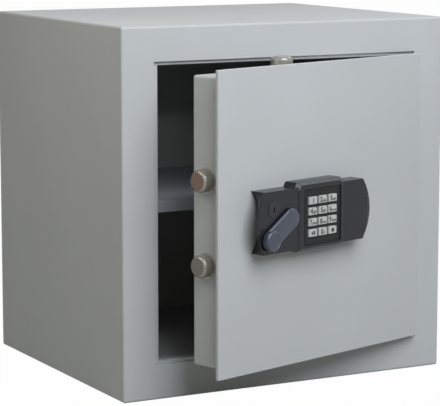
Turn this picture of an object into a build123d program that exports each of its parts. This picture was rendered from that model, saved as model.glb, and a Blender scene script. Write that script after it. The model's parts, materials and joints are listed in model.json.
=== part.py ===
"""Free-standing steel safe with a swing door, round locking bolts and an electronic lock.

Millimetres, +Z up. The origin is the middle of the footprint, on the floor. The front faces -Y, and the
door hangs on the right, on pins hidden in the right-hand column of the body. The door is drawn ajar.

Places on the door are given as (u, t, z): u runs from the left edge of the door plate to the right, t
runs from the plate's front face into the safe, and z is the height above the floor. Heights above the
plate's front face, towards the user, are called h, so h = -t. Door pieces are drawn with the door shut
and are then turned about the hinge pins with swing().
"""
import math
import os

from build123d import *

# ---------------------------------------------------------------- body of the safe
BODY_WIDTH = 500.0
BODY_DEPTH = 420.0
BODY_HEIGHT = 500.0
BODY_EDGE_RADIUS = 3.5
CUT = 1.0                  # how far a cutter runs past the faces it cuts
SKIN = 3.0                 # outer sheet: sides, top and bottom
WALL = 40.0                # outer face to inner face
LINER = 2.0                # inner sheet
BACK_SHEET = 3.0
FRAME_FACE = 47.5          # width of the front frame round the opening
OPENING_EDGE_RADIUS = 1.0
LIP_WIDTH = 7.0            # step behind the door plate's side edges
LIP_END_WIDTH = 4.6        # the same step at the top and bottom edges
LIP_SHEET = 2.0
LIP_LAP = 20.0             # how far the lip sheet reaches behind the front frame
JAMB_DEPTH = 20.0          # front face to the rear edge of the jamb
JAMB_SHEET = 3.0
SEAT_GAP = 0.3             # between pieces that lie together without a fit
SLEEVE_RADIUS = 8.0
ANCHOR_HOLE_RADIUS = 6.0
BASE_ANCHOR_SPACING = 220.0
BACK_ANCHOR_SPACING = 220.0
BACK_ANCHOR_HEIGHT = 350.0

# ---------------------------------------------------------------- shelf
SHELF_TOP = 257.4
SHELF_SHEET = 2.0
SHELF_LIP = 16.0           # height of the folded front and rear edges
SHELF_SETBACK = 71.0       # from the front face to the shelf's front edge
SHELF_SIDE_GAP = 1.5
SHELF_BACK_GAP = 2.0
RAIL_WIDTH = 20.0
RAIL_HEIGHT = 18.0
RAIL_SHEET = 2.0
RAIL_SETBACK = 5.0         # rails start and end this far inside the shelf's folded edges

# ---------------------------------------------------------------- door
DOOR_OPEN = 17.3           # degrees open as drawn
DOOR_GAP = 2.0
PLATE = 5.0                # door plate, and the depth of its rebate
PLATE_EDGE_RADIUS = 1.2
DOOR_DEPTH = 61.0          # plate front to the rear of the door case
CASE_SIDE_INSET = 15.0
CASE_END_INSET = 10.4
CASE_SHEET = 2.0
CASE_RADIUS = 3.5
CASE_FLANGE = 20.0         # rear flange that carries the cover
COVER_SHEET = 1.5
COVER_INSET = 8.0
COVER_SCREW_INSET = 7.0    # screws in from the cover's edge
SCREW_M4_RADIUS = 2.0
SCREW_M4_HEAD_RADIUS = 3.6
SCREW_M4_HEAD = 2.4
SCREW_HOLE_GAP = 0.2
SOCKET_ACROSS = 2.5
SOCKET_DEPTH = 1.5
HARD_PLATE = 3.0
HARD_PLATE_WIDTH = 176.0
HARD_PLATE_HEIGHT = 108.0

# ---------------------------------------------------------------- hinges
HINGE_SIDE_INSET = 14.0    # pin axis from the body's right side
HINGE_FRONT_INSET = 14.0   # pin axis behind the front face
HINGE_RISE = 130.0         # each hinge above or below mid-height
PIN_RADIUS = 4.0
PIN_HEAD_RADIUS = 5.6
PIN_HEAD = 3.0
RUNNING_GAP = 0.05
PRESS_GAP = 0.02
BUSH_WALL = 1.5
EYE_WALL = 2.5
ARM_HEIGHT = 12.0
ARM_LEG_WIDTH = 12.0       # leg beside the pin
ARM_REACH_WIDTH = 10.0     # leg that reaches the door
ARM_FOOT = 4.0
ARM_FOOT_HEIGHT = 44.0
ARM_FOOT_WIDTH = 42.0
ARM_FOOT_SHY = 2.0         # the foot's rear edge stops this far short of the case's rear
ARM_BEND_RADIUS = 8.0
ARM_SCREW_RISE = 14.0
ARM_SCREW_SETBACK = 15.0   # screws from the foot's front edge
SCREW_M6_RADIUS = 3.0
SCREW_M6_HEAD_RADIUS = 5.0
SCREW_M6_HEAD = 3.0
BACKER = 5.0
BACKER_INSET = 2.0         # the backer's front edge behind the foot's
WASHER = 1.0
LUG = 6.0                  # thickness of each hinge lug
LUG_WIDTH = 23.0
LUG_DEPTH = 21.0
ARM_SLOT_GAP = 4.0         # air above and below each arm in the jamb and liner
CHANNEL_DEPTH = 68.0       # hollow column for the hinges, from the front face

# ---------------------------------------------------------------- locking bolts
BOLT_RADIUS = 15.0
BOLT_NOSE = 5.0            # length of the tapered nose
BOLT_NOSE_TAPER = 1.9      # how much smaller the nose's end is, in radius
BOLT_DEPTH = 36.6          # axis behind the plate's front face
BOLT_THROW = 17.0
SIDE_BOLT_PITCH = 111.3
SIDE_BOLT_OUT = 16.8       # stands out of the case when thrown
SIDE_BOLT_LENGTH = 60.0
END_BOLT_OUT = 18.0
END_BOLT_LENGTH = 62.0
COLLAR_WALL = 2.0
COLLAR_PROUD = 1.2
COLLAR_INSIDE = 8.0
BOLT_FIT = 0.1
CARRIAGE_BAR = 6.0
CARRIAGE_BAR_WIDTH = 22.0
CARRIAGE_BAR_OVERHANG = 12.0
BOLT_SCREW_DEPTH = 18.0

# ---------------------------------------------------------------- lever, spindle and drive disc
LEVER_U = 107.8
LEVER_Z = 252.6
LEVER_REACH = 46.5         # pivot to the middle of the grip
LEVER_DROOP = 32.5         # degrees below level as drawn, with the bolts thrown
LEVER_WIDTH = 27.2
LEVER_UNDERSIDE = 26.0     # heights above the plate
LEVER_ARM_TOP = 30.0
LEVER_CAP = 1.5            # lever left over the spindle's end
LEVER_GRIP_TOP = 35.0        # round boss at the end of the arm
LEVER_EDGE = 1.6
LEVER_HUB_RADIUS = 9.0
LEVER_TURN = 72.0          # degrees, clockwise as seen by the user
SPINDLE_RADIUS = 5.0
SPINDLE_END = 46.0         # depth behind the plate's front face
SPINDLE_BUSH_RADIUS = 8.0
SPINDLE_BUSH_FLANGE_RADIUS = 12.0
SPINDLE_BUSH_FLANGE = 3.0
CLIP = 1.2
CLIP_RADIUS = 7.5
CLIP_GROOVE_RADIUS = 4.2
CLIP_MOUTH = 5.9
DISC_RADIUS = 24.0
DISC = 4.0
DISC_FRONT = 30.0
DRIVE_PIN_RADIUS = 2.5
SLOT_FIT = 0.25
SIDE_YOKE = 4.0
SIDE_YOKE_FRONT = 23.0
TOP_ROD = 3.0
BOTTOM_ROD = 3.0
BOTTOM_ROD_LAYER_GAP = 0.9
ROD_WIDTH = 20.0
YOKE_MARGIN = 3.0
SPINDLE_CLEARANCE = 1.5
BOTTOM_BAND = 12.0
ROD_INTO_BOLT = 15.0
STUD_RADIUS = 3.0
STUD_FIT = 0.3
STUD_HEAD_RADIUS = 5.0
STUD_HEAD = 1.5
TOP_STUD_Z = 330.0
BOTTOM_STUD_Z = 165.0

# ---------------------------------------------------------------- motor lock inside the door
LOCK_CASE_U = 172.0
LOCK_CASE_WIDTH = 56.0
LOCK_CASE_HEIGHT = 48.0
LOCK_CASE_REAR = 34.5
LOCK_BAR = 3.0
LOCK_BAR_HEIGHT = 6.0
LOCK_BAR_INSIDE = 26.0
LOCK_BAR_TRAVEL = 5.0
LOCK_BAR_SHY = 0.5         # bar's tip outside the disc's rim when drawn back
NOTCH_FLOOR_GAP = 1.0
LOCK_SCREW_INSET = 6.0

# ---------------------------------------------------------------- lock housing on the door's front
UNIT_U = 157.0
UNIT_Z = 250.0
UNIT_WIDTH = 194.0         # corner to corner
UNIT_HEIGHT = 82.0
UNIT_FACE = 24.0           # height of the wings' front face
UNIT_RIM = 23.4            # height of the ends' rim, a little below the face
END_BULGE = 14.3           # the rim curves out by this at mid-height
END_BULGE_AT_FACE = 9.0
END_SCOOP = 16.0           # the ends' foot on the door plate curves in by this
UNIT_SKIN = 2.5
BLOCK_LEFT = 121.0
BLOCK_RIGHT = 215.0
BLOCK_FACE = 25.5
BLOCK_SHOULDER = 20.0
BLOCK_ABOVE = 6.4
BLOCK_BELOW = 4.0
BLOCK_CORNER = 4.0
BLOCK_BEVEL = 4.0
POST_RADIUS = 4.5
POST_LEFT_U = 130.0
POST_RIGHT_U = 203.0
POST_RISE = 32.0
POST_SCREW_DEPTH = 11.0
LEFT_POCKET_U = 92.0
RIGHT_POCKET_U = 233.5
POCKET_HEIGHT = 66.0
PIVOT_BOSS_RADIUS = 9.0

# ---------------------------------------------------------------- keypad
KEYPAD_U = 171.0
KEYPAD_Z = 250.0
KEYPAD_WIDTH = 73.0
KEYPAD_HEIGHT = 75.0
KEYPAD_FACE = 24.0
KEYPAD_SHEET = 2.5
KEYPAD_RIM = 1.6
BOARD = 1.6
MAT = 0.8
KEY_WIDTH = 16.3
KEY_HEIGHT = 10.6
KEY_PITCH_U = 19.3
KEY_PITCH_Z = 14.4
KEY_TOP = 26.2
KEY_GAP = 0.35
KEY_FLANGE = 1.0
KEY_FLANGE_OVERHANG = 0.6
KEY_TRAVEL = 0.8
KEY_EDGE = 0.5
CELL_RADIUS = 5.2
CELL_LENGTH = 44.5
CELL_PITCH = 10.8
CELL_FIRST_U = 216.2

# ---------------------------------------------------------------- emergency key cylinder
CYLINDER_U = 78.0
CYLINDER_Z = 267.0
CYLINDER_RIM_RADIUS = 10.5
CYLINDER_RIM = 0.8
CYLINDER_BODY_RADIUS = 8.0
CYLINDER_BODY_FLOOR = 7.0
PLUG_RADIUS = 5.5
PLUG_TAIL_RADIUS = 2.5
PLUG_TAIL_END = 14.0
KEYWAY_WIDTH = 1.6
KEYWAY_LENGTH = 7.0
KEYWAY_DEPTH = 12.0
CAM_LENGTH = 10.0
CAM_WIDTH = 7.0
CAM = 2.0

# ---------------------------------------------------------------- worked out from the sizes above
FRONT = -BODY_DEPTH / 2
REAR = BODY_DEPTH / 2
SIDE = BODY_WIDTH / 2
INNER_SIDE = SIDE - WALL
INNER_FLOOR = WALL
INNER_CEILING = BODY_HEIGHT - WALL
INNER_REAR = REAR - WALL
OPENING_SIDE = SIDE - FRAME_FACE
OPENING_LOW = FRAME_FACE
OPENING_HIGH = BODY_HEIGHT - FRAME_FACE
LIP_FRONT = FRONT + PLATE
LIP_REAR = LIP_FRONT + LIP_SHEET
JAMB_REAR = FRONT + JAMB_DEPTH
SHELF_FRONT = FRONT + SHELF_SETBACK
PLATE_LEFT = -OPENING_SIDE + DOOR_GAP
PLATE_WIDTH = 2 * (OPENING_SIDE - DOOR_GAP)
PLATE_LOW = OPENING_LOW + DOOR_GAP
PLATE_HIGH = OPENING_HIGH - DOOR_GAP
CASE_LEFT_U = CASE_SIDE_INSET
CASE_RIGHT_U = PLATE_WIDTH - CASE_SIDE_INSET
CASE_LOW = PLATE_LOW + CASE_END_INSET
CASE_HIGH = PLATE_HIGH - CASE_END_INSET
MID_HEIGHT = BODY_HEIGHT / 2
HINGE_X = SIDE - HINGE_SIDE_INSET
HINGE_Y = FRONT + HINGE_FRONT_INSET
HINGE_HEIGHTS = (MID_HEIGHT - HINGE_RISE, MID_HEIGHT + HINGE_RISE)
BUSH_RADIUS = PIN_RADIUS + RUNNING_GAP + BUSH_WALL
EYE_RADIUS = BUSH_RADIUS + EYE_WALL
LUG_SPREAD = ARM_HEIGHT / 2 + WASHER + SEAT_GAP
SIDE_BOLT_HEIGHTS = (MID_HEIGHT - SIDE_BOLT_PITCH / 2, MID_HEIGHT + SIDE_BOLT_PITCH / 2)
SIDE_BOLT_TIP_U = CASE_LEFT_U - SIDE_BOLT_OUT
SIDE_BOLT_END_U = SIDE_BOLT_TIP_U + SIDE_BOLT_LENGTH
SIDE_STUD_U = SIDE_BOLT_END_U + CARRIAGE_BAR + STUD_HEAD_RADIUS + SEAT_GAP + BOLT_THROW
PIN_ORBIT = BOLT_THROW / (2 * math.sin(math.radians(LEVER_TURN / 2)))
PIN_SWING = BOLT_THROW / 2
PIN_NEAR = PIN_ORBIT * math.cos(math.radians(LEVER_TURN / 2))
SLOT_HALF_WIDTH = DRIVE_PIN_RADIUS + SLOT_FIT
SLOT_NEAR = PIN_NEAR - SLOT_HALF_WIDTH - SLOT_FIT
SLOT_FAR = PIN_ORBIT + SLOT_HALF_WIDTH + SLOT_FIT
YOKE_NEAR = SPINDLE_RADIUS + SPINDLE_CLEARANCE
DISC_REAR = DISC_FRONT + DISC
TOP_ROD_FRONT = BOLT_DEPTH - TOP_ROD / 2
BOTTOM_ROD_FRONT = TOP_ROD_FRONT + TOP_ROD + BOTTOM_ROD_LAYER_GAP
KEYPAD_REAR = KEYPAD_FACE - KEYPAD_SHEET
KEY_FLANGE_TOP = KEYPAD_REAR - SEAT_GAP
KEY_FLOOR = KEY_FLANGE_TOP - KEY_FLANGE - KEY_TRAVEL - SEAT_GAP - MAT - BOARD
HARD_PLATE_REAR = PLATE + HARD_PLATE
RETAINER_REAR = HARD_PLATE_REAR + SPINDLE_BUSH_FLANGE


def door_x(u):
    """X of a place u to the right of the door plate's left edge."""
    return PLATE_LEFT + u


def door_y(t):
    """Y of a place t behind the door plate's front face."""
    return FRONT + t


def block(x0, x1, y0, y1, z0, z1):
    """A box between two corners."""
    corner = Pos(min(x0, x1), min(y0, y1), min(z0, z1))
    return corner * Box(abs(x1 - x0), abs(y1 - y0), abs(z1 - z0), align=(Align.MIN,) * 3)


def door_block(u0, u1, t0, t1, z0, z1):
    """A box given in door places."""
    return block(door_x(u0), door_x(u1), door_y(t0), door_y(t1), z0, z1)


def rod_x(x0, x1, y, z, radius):
    """A round bar along X."""
    turned = Pos(x0, y, z) * Rot(0, 90, 0)
    return turned * Cylinder(radius, x1 - x0, align=(Align.CENTER, Align.CENTER, Align.MIN))


def rod_y(x, y0, y1, z, radius):
    """A round bar along Y."""
    turned = Pos(x, y0, z) * Rot(-90, 0, 0)
    return turned * Cylinder(radius, y1 - y0, align=(Align.CENTER, Align.CENTER, Align.MIN))


def rod_z(x, y, z0, z1, radius):
    """A round bar along Z."""
    return Pos(x, y, z0) * Cylinder(radius, z1 - z0, align=(Align.CENTER, Align.CENTER, Align.MIN))


def door_rod(u, z, t0, t1, radius):
    """A round bar through the door, from depth t0 to depth t1."""
    return rod_y(door_x(u), door_y(t0), door_y(t1), z, radius)


def front_plane(u, z, height):
    """A sketch plane that faces the user, at a height above the plate, with its origin at (u, z)."""
    return Plane(origin=(door_x(u), door_y(-height), z), x_dir=(1, 0, 0), z_dir=(0, -1, 0))


def group(pieces):
    """Several separate solids that share one node."""
    return Compound([solid for piece in pieces for solid in piece.solids()])


def swing(shape):
    """The shape turned from the shut door to where the door stands ajar."""
    there = Pos(HINGE_X, HINGE_Y, 0)
    back = Pos(-HINGE_X, -HINGE_Y, 0)
    return there * Rot(0, 0, DOOR_OPEN) * back * shape


def corner_places(half_width, half_height):
    """The four corners of a rectangle round the origin."""
    return [(sx * half_width, sz * half_height) for sx in (-1, 1) for sz in (-1, 1)]


# ================================================================ body of the safe
def anchor_cutters(radius):
    """Round cutters for the two holes in the base and the two in the back."""
    base_x = BASE_ANCHOR_SPACING / 2
    back_x = BACK_ANCHOR_SPACING / 2
    base = [rod_z(x, 0, -CUT, WALL + CUT, radius) for x in (-base_x, base_x)]
    back = [rod_y(x, INNER_REAR - CUT, REAR + CUT, BACK_ANCHOR_HEIGHT, radius) for x in (-back_x, back_x)]
    return base + back


def outer_shell():
    """Folded outer sheet with the front frame welded in, open at the back."""
    outer = Pos(0, 0, BODY_HEIGHT / 2) * Box(BODY_WIDTH, BODY_DEPTH, BODY_HEIGHT)
    rear_edges = outer.edges().group_by(Axis.Y)[-1]
    outer = fillet([edge for edge in outer.edges() if edge not in rear_edges], BODY_EDGE_RADIUS)
    inside = block(-SIDE + SKIN, SIDE - SKIN, FRONT + PLATE, REAR + CUT, SKIN, BODY_HEIGHT - SKIN)
    opening = block(-OPENING_SIDE, OPENING_SIDE, FRONT - CUT, FRONT + PLATE + CUT,
                    OPENING_LOW, OPENING_HIGH)
    shell = outer - inside - opening
    rim = [edge for edge in shell.edges() if is_opening_rim(edge)]
    shell = fillet(rim, OPENING_EDGE_RADIUS)
    for cutter in anchor_cutters(SLEEVE_RADIUS + SEAT_GAP)[:2]:
        shell -= cutter
    return shell


def is_opening_rim(edge):
    """Whether an edge of the shell is one of the four front edges round the door opening."""
    middle = edge.center()
    on_front = abs(middle.Y - FRONT) < 1e-3
    inside_x = abs(middle.X) <= OPENING_SIDE + 1e-3
    inside_z = OPENING_LOW - 1e-3 <= middle.Z <= OPENING_HIGH + 1e-3
    return on_front and inside_x and inside_z


def back_plate():
    """Rear sheet set between the folded sides."""
    side = SIDE - SKIN - SEAT_GAP
    low = SKIN + SEAT_GAP
    plate = block(-side, side, REAR - BACK_SHEET, REAR, low, BODY_HEIGHT - low)
    for cutter in anchor_cutters(SLEEVE_RADIUS + SEAT_GAP)[2:]:
        plate -= cutter
    return plate


def arm_slots():
    """Cutters for the slots that let the hinge arms swing through the jamb and the liner."""
    rise = ARM_HEIGHT / 2 + ARM_SLOT_GAP
    right = SIDE - SKIN - SEAT_GAP
    left = OPENING_SIDE - LIP_WIDTH - CUT
    rear = FRONT + DOOR_DEPTH + ARM_SLOT_GAP
    return [block(left, right, LIP_REAR, rear, z - rise, z + rise) for z in HINGE_HEIGHTS]


def rebate_frame():
    """Ring behind the front frame: a lip that the door plate shuts against, and the jamb."""
    lap = OPENING_SIDE + LIP_LAP
    clear = OPENING_SIDE - LIP_WIDTH
    low, high = OPENING_LOW, OPENING_HIGH
    lip = block(-lap, lap, LIP_FRONT, LIP_REAR, low - LIP_LAP, high + LIP_LAP)
    jamb_side = clear + JAMB_SHEET
    jamb_low = low + LIP_END_WIDTH - JAMB_SHEET
    jamb_high = high - LIP_END_WIDTH + JAMB_SHEET
    jamb = block(-jamb_side, jamb_side, LIP_FRONT + LIP_SHEET / 2, JAMB_REAR, jamb_low, jamb_high)
    window = block(-clear, clear, LIP_FRONT - CUT, JAMB_REAR + CUT,
                   low + LIP_END_WIDTH, high - LIP_END_WIDTH)
    ring = lip + jamb - window
    rise = ARM_HEIGHT / 2 + ARM_SLOT_GAP
    for z, slot in zip(HINGE_HEIGHTS, arm_slots()):
        notch = block(clear - CUT, OPENING_SIDE + DOOR_GAP, LIP_FRONT - CUT, LIP_REAR + CUT,
                      z - rise, z + rise)
        ring -= slot + notch
    return ring


def inner_liner():
    """Five-sided inner box that lines the storage space."""
    outer_side = INNER_SIDE + LINER
    low = INNER_FLOOR - LINER
    high = INNER_CEILING + LINER
    box = block(-outer_side, outer_side, LIP_REAR, INNER_REAR + LINER, low, high)
    space = block(-INNER_SIDE, INNER_SIDE, LIP_REAR - CUT, INNER_REAR, INNER_FLOOR, INNER_CEILING)
    liner = box - space
    for slot in arm_slots():
        liner -= slot
    for cutter in anchor_cutters(SLEEVE_RADIUS + SEAT_GAP):
        liner -= cutter
    return liner


def filling_boards():
    """Fire-resistant boards between the outer and inner sheets; the hinge column stays hollow."""
    out = SIDE - SKIN - SEAT_GAP
    inn = INNER_SIDE + LINER + SEAT_GAP
    low = SKIN + SEAT_GAP
    high = BODY_HEIGHT - low
    front = LIP_REAR + SEAT_GAP
    rear = REAR - BACK_SHEET - SEAT_GAP
    under = INNER_FLOOR - LINER - SEAT_GAP
    over = INNER_CEILING + LINER + SEAT_GAP
    behind = INNER_REAR + LINER + SEAT_GAP
    left = block(-out, -inn, front, rear, low, high)
    right = block(inn, out, FRONT + CHANNEL_DEPTH, rear, low, high)
    between = inn - SEAT_GAP
    bottom = block(-between, between, front, rear, low, under)
    top = block(-between, between, front, rear, over, high)
    back = block(-between, between, behind, rear, under + SEAT_GAP, over - SEAT_GAP)
    for cutter in anchor_cutters(SLEEVE_RADIUS + SEAT_GAP):
        bottom -= cutter
        back -= cutter
    return group([left, right, bottom, top, back])


def anchor_sleeves():
    """Steel tubes that carry the anchor bolts through the base and the back."""
    outer = anchor_cutters(SLEEVE_RADIUS)
    bores = anchor_cutters(ANCHOR_HOLE_RADIUS)
    base_zone = block(-SIDE, SIDE, -SIDE, SIDE, 0, WALL)
    back_zone = block(-SIDE, SIDE, INNER_REAR, REAR, 0, BODY_HEIGHT)
    zones = [base_zone, base_zone, back_zone, back_zone]
    return group([(tube & zone) - bore for tube, zone, bore in zip(outer, zones, bores)])


def shelf():
    """Shelf sheet with its front and rear edges folded down."""
    side = INNER_SIDE - SHELF_SIDE_GAP
    rear = INNER_REAR - SHELF_BACK_GAP
    low = SHELF_TOP - SHELF_LIP
    tray = block(-side, side, SHELF_FRONT, rear, low, SHELF_TOP)
    under = block(-side - CUT, side + CUT, SHELF_FRONT + SHELF_SHEET, rear - SHELF_SHEET,
                  low - CUT, SHELF_TOP - SHELF_SHEET)
    folded = tray - under
    front_edges = [e for e in folded.edges().filter_by(Axis.X) if e.center().Z > SHELF_TOP - 1e-3]
    return fillet(front_edges, SHELF_SHEET / 2)


def shelf_rails():
    """Two angle rails, welded to the liner, that carry the shelf."""
    front = SHELF_FRONT + SHELF_SHEET + RAIL_SETBACK
    rear = INNER_REAR - SHELF_BACK_GAP - SHELF_SHEET - RAIL_SETBACK
    high = SHELF_TOP - SHELF_SHEET
    rails = []
    for hand in (-1, 1):
        wall = hand * INNER_SIDE
        upright = block(wall, wall - hand * RAIL_SHEET, front, rear, high - RAIL_HEIGHT, high)
        ledge = block(wall, wall - hand * RAIL_WIDTH, front, rear, high - RAIL_SHEET, high)
        rails.append(upright + ledge)
    return group(rails)


# ================================================================ hinges
def hinge_lugs():
    """Four lugs, two to a hinge, welded into the hollow column behind the front frame."""
    right = SIDE - SKIN
    lugs = []
    for z in HINGE_HEIGHTS:
        for low in (z - LUG_SPREAD - LUG, z + LUG_SPREAD):
            lug = block(right - LUG_WIDTH, right, LIP_FRONT, LIP_FRONT + LUG_DEPTH, low, low + LUG)
            lug -= rod_z(HINGE_X, HINGE_Y, low - CUT, low + LUG + CUT, PIN_RADIUS + PRESS_GAP)
            lugs.append(lug)
    return group(lugs)


def hinge_pins():
    """Headed pins through each pair of lugs."""
    pins = []
    for z in HINGE_HEIGHTS:
        top = z + LUG_SPREAD + LUG
        shank = rod_z(HINGE_X, HINGE_Y, z - LUG_SPREAD - LUG, top, PIN_RADIUS)
        head = rod_z(HINGE_X, HINGE_Y, top, top + PIN_HEAD, PIN_HEAD_RADIUS)
        pins.append(shank + head)
    return group(pins)


def thrust_washers():
    """A washer under each hinge arm, resting on the lower lug."""
    washers = []
    for z in HINGE_HEIGHTS:
        low = z - LUG_SPREAD
        ring = rod_z(HINGE_X, HINGE_Y, low, low + WASHER, EYE_RADIUS)
        bore = rod_z(HINGE_X, HINGE_Y, low - CUT, low + WASHER + CUT, PIN_RADIUS + RUNNING_GAP)
        washers.append(ring - bore)
    return group(washers)


def arm_foot_zone():
    """The foot plate's reach along Y: its front and rear."""
    rear = FRONT + DOOR_DEPTH - ARM_FOOT_SHY
    return rear - ARM_FOOT_WIDTH, rear


def hinge_arm(z):
    """Swan-neck arm: an eye round the pin, a leg into the safe and a leg across to the door case."""
    low, high = z - ARM_HEIGHT / 2, z + ARM_HEIGHT / 2
    half = ARM_LEG_WIDTH / 2
    foot_front, foot_rear = arm_foot_zone()
    case_side = door_x(CASE_RIGHT_U)
    eye = rod_z(HINGE_X, HINGE_Y, low, high, EYE_RADIUS)
    leg = block(HINGE_X - half, HINGE_X + half, HINGE_Y, foot_rear, low, high)
    reach_front = foot_rear - ARM_REACH_WIDTH
    bend = leg + block(case_side + ARM_FOOT / 2, HINGE_X + half, reach_front, foot_rear, low, high)
    uprights = bend.edges().filter_by(Axis.Z)
    outer_corner = uprights.sort_by(lambda edge: edge.center().X + edge.center().Y)[-1]
    neck = fillet([outer_corner], ARM_BEND_RADIUS)
    foot = block(case_side, case_side + ARM_FOOT, foot_front, foot_rear,
                 z - ARM_FOOT_HEIGHT / 2, z + ARM_FOOT_HEIGHT / 2)
    arm = neck + eye + foot
    arm -= rod_z(HINGE_X, HINGE_Y, low - CUT, high + CUT, BUSH_RADIUS + PRESS_GAP)
    screw_hole = SCREW_M6_RADIUS + SCREW_HOLE_GAP
    for y, height in arm_screw_places(z):
        arm -= rod_x(case_side - CUT, case_side + ARM_FOOT + CUT, y, height, screw_hole)
    return arm


def arm_screw_places(z):
    """(y, z) of the two screws of the arm at height z."""
    front = arm_foot_zone()[0]
    return [(front + ARM_SCREW_SETBACK, z + sign * ARM_SCREW_RISE) for sign in (-1, 1)]


def hinge_bushes():
    """Plain bushes pressed into the arms' eyes."""
    bushes = []
    for z in HINGE_HEIGHTS:
        low, high = z - ARM_HEIGHT / 2, z + ARM_HEIGHT / 2
        bush = rod_z(HINGE_X, HINGE_Y, low, high, BUSH_RADIUS)
        bushes.append(bush - rod_z(HINGE_X, HINGE_Y, low - CUT, high + CUT, PIN_RADIUS + RUNNING_GAP))
    return group(bushes)


def arm_screws():
    """Socket screws that hold the arms' feet to the door case."""
    case_side = door_x(CASE_RIGHT_U)
    inner_end = case_side - CASE_SHEET - BACKER
    face = case_side + ARM_FOOT
    screws = []
    for z in HINGE_HEIGHTS:
        for y, height in arm_screw_places(z):
            shank = rod_x(inner_end, face, y, height, SCREW_M6_RADIUS)
            head = rod_x(face, face + SCREW_M6_HEAD, y, height, SCREW_M6_HEAD_RADIUS)
            top = face + SCREW_M6_HEAD
            socket = Pos(top, y, height) * Rot(0, 90, 0) * hexagon(2 * SOCKET_ACROSS, SOCKET_DEPTH)
            screws.append(shank + head - socket)
    return group(screws)


def arm_backers():
    """Threaded plates inside the door case, behind the arms' feet."""
    face = door_x(CASE_RIGHT_U) - CASE_SHEET
    foot_front, foot_rear = arm_foot_zone()
    plates = []
    for z in HINGE_HEIGHTS:
        half = ARM_FOOT_HEIGHT / 2
        plate = block(face - BACKER, face, foot_front + BACKER_INSET, foot_rear - CASE_RADIUS,
                      z - half, z + half)
        for y, height in arm_screw_places(z):
            plate -= rod_x(face - BACKER - CUT, face + CUT, y, height, SCREW_M6_RADIUS + PRESS_GAP)
        plates.append(plate)
    return group(plates)


def hexagon(across, depth):
    """A hexagonal recess centred on a face that lies in the XY plane, cut both ways."""
    return extrude(RegularPolygon(across / math.sqrt(3), 6), depth, both=True)


# ================================================================ door
def door_plate():
    """Front plate of the door, with the holes the lock needs."""
    plate = door_block(0, PLATE_WIDTH, 0, PLATE, PLATE_LOW, PLATE_HIGH)
    front_rim = plate.faces().sort_by(Axis.Y)[0].edges()
    uprights = plate.edges().filter_by(Axis.Y)
    plate = fillet(front_rim + uprights, PLATE_EDGE_RADIUS)
    return plate - lock_holes(-CUT, PLATE + CUT)


def lock_holes(t0, t1):
    """Clearance holes for the spindle bush, the housing's screws and the cylinder's tail."""
    holes = [door_rod(LEVER_U, LEVER_Z, t0, t1, SPINDLE_BUSH_RADIUS + PRESS_GAP)]
    holes.append(door_rod(CYLINDER_U, CYLINDER_Z, t0, t1, PLUG_TAIL_RADIUS + STUD_FIT))
    for u, z in post_places():
        holes.append(door_rod(u, z, t0, t1, SCREW_M4_RADIUS + SCREW_HOLE_GAP))
    return group(holes)


def door_case():
    """Folded box behind the plate, with a rear flange for the cover and holes for the bolts."""
    body = door_block(CASE_LEFT_U, CASE_RIGHT_U, PLATE, DOOR_DEPTH, CASE_LOW, CASE_HIGH)
    rear_rim = body.faces().sort_by(Axis.Y)[-1].edges()
    corners = body.edges().filter_by(Axis.Y)
    body = fillet(rear_rim + corners, CASE_RADIUS)
    space = door_block(CASE_LEFT_U + CASE_SHEET, CASE_RIGHT_U - CASE_SHEET, PLATE - CUT,
                       DOOR_DEPTH - CASE_SHEET, CASE_LOW + CASE_SHEET, CASE_HIGH - CASE_SHEET)
    inner_rim = space.faces().sort_by(Axis.Y)[-1].edges() + space.edges().filter_by(Axis.Y)
    body -= fillet(inner_rim, CASE_RADIUS - CASE_SHEET)
    flange_front, flange_rear = DOOR_DEPTH - CASE_SHEET - CUT, DOOR_DEPTH + CUT
    body -= door_block(CASE_LEFT_U + CASE_FLANGE, CASE_RIGHT_U - CASE_FLANGE, flange_front, flange_rear,
                       CASE_LOW + CASE_FLANGE, CASE_HIGH - CASE_FLANGE)
    hole = BOLT_RADIUS + BOLT_FIT + COLLAR_WALL + PRESS_GAP
    wall = CASE_RADIUS + CASE_SHEET
    for z in SIDE_BOLT_HEIGHTS:
        body -= rod_x(door_x(CASE_LEFT_U) - CUT, door_x(CASE_LEFT_U) + wall, door_y(BOLT_DEPTH), z, hole)
    for low in (CASE_LOW - CUT, CASE_HIGH - wall):
        body -= rod_z(door_x(UNIT_U), door_y(BOLT_DEPTH), low, low + wall + CUT, hole)
    screw_hole = SCREW_M6_RADIUS + SCREW_HOLE_GAP
    side = door_x(CASE_RIGHT_U)
    for hinge_z in HINGE_HEIGHTS:
        for y, z in arm_screw_places(hinge_z):
            body -= rod_x(side - wall, side + CUT, y, z, screw_hole)
    for u, z in cover_screw_places():
        body -= door_rod(u, z, flange_front, flange_rear, SCREW_M4_RADIUS + SCREW_HOLE_GAP)
    return body


def cover_edges():
    """The rear cover's left, right, low and high edges."""
    return (CASE_LEFT_U + COVER_INSET, CASE_RIGHT_U - COVER_INSET,
            CASE_LOW + COVER_INSET, CASE_HIGH - COVER_INSET)


def cover_screw_places():
    """(u, z) of the eight screws round the rear cover."""
    left, right, low, high = cover_edges()
    us = (left + COVER_SCREW_INSET, (left + right) / 2, right - COVER_SCREW_INSET)
    zs = (low + COVER_SCREW_INSET, (low + high) / 2, high - COVER_SCREW_INSET)
    middle = (us[1], zs[1])
    return [(u, z) for u in us for z in zs if (u, z) != middle]


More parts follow.
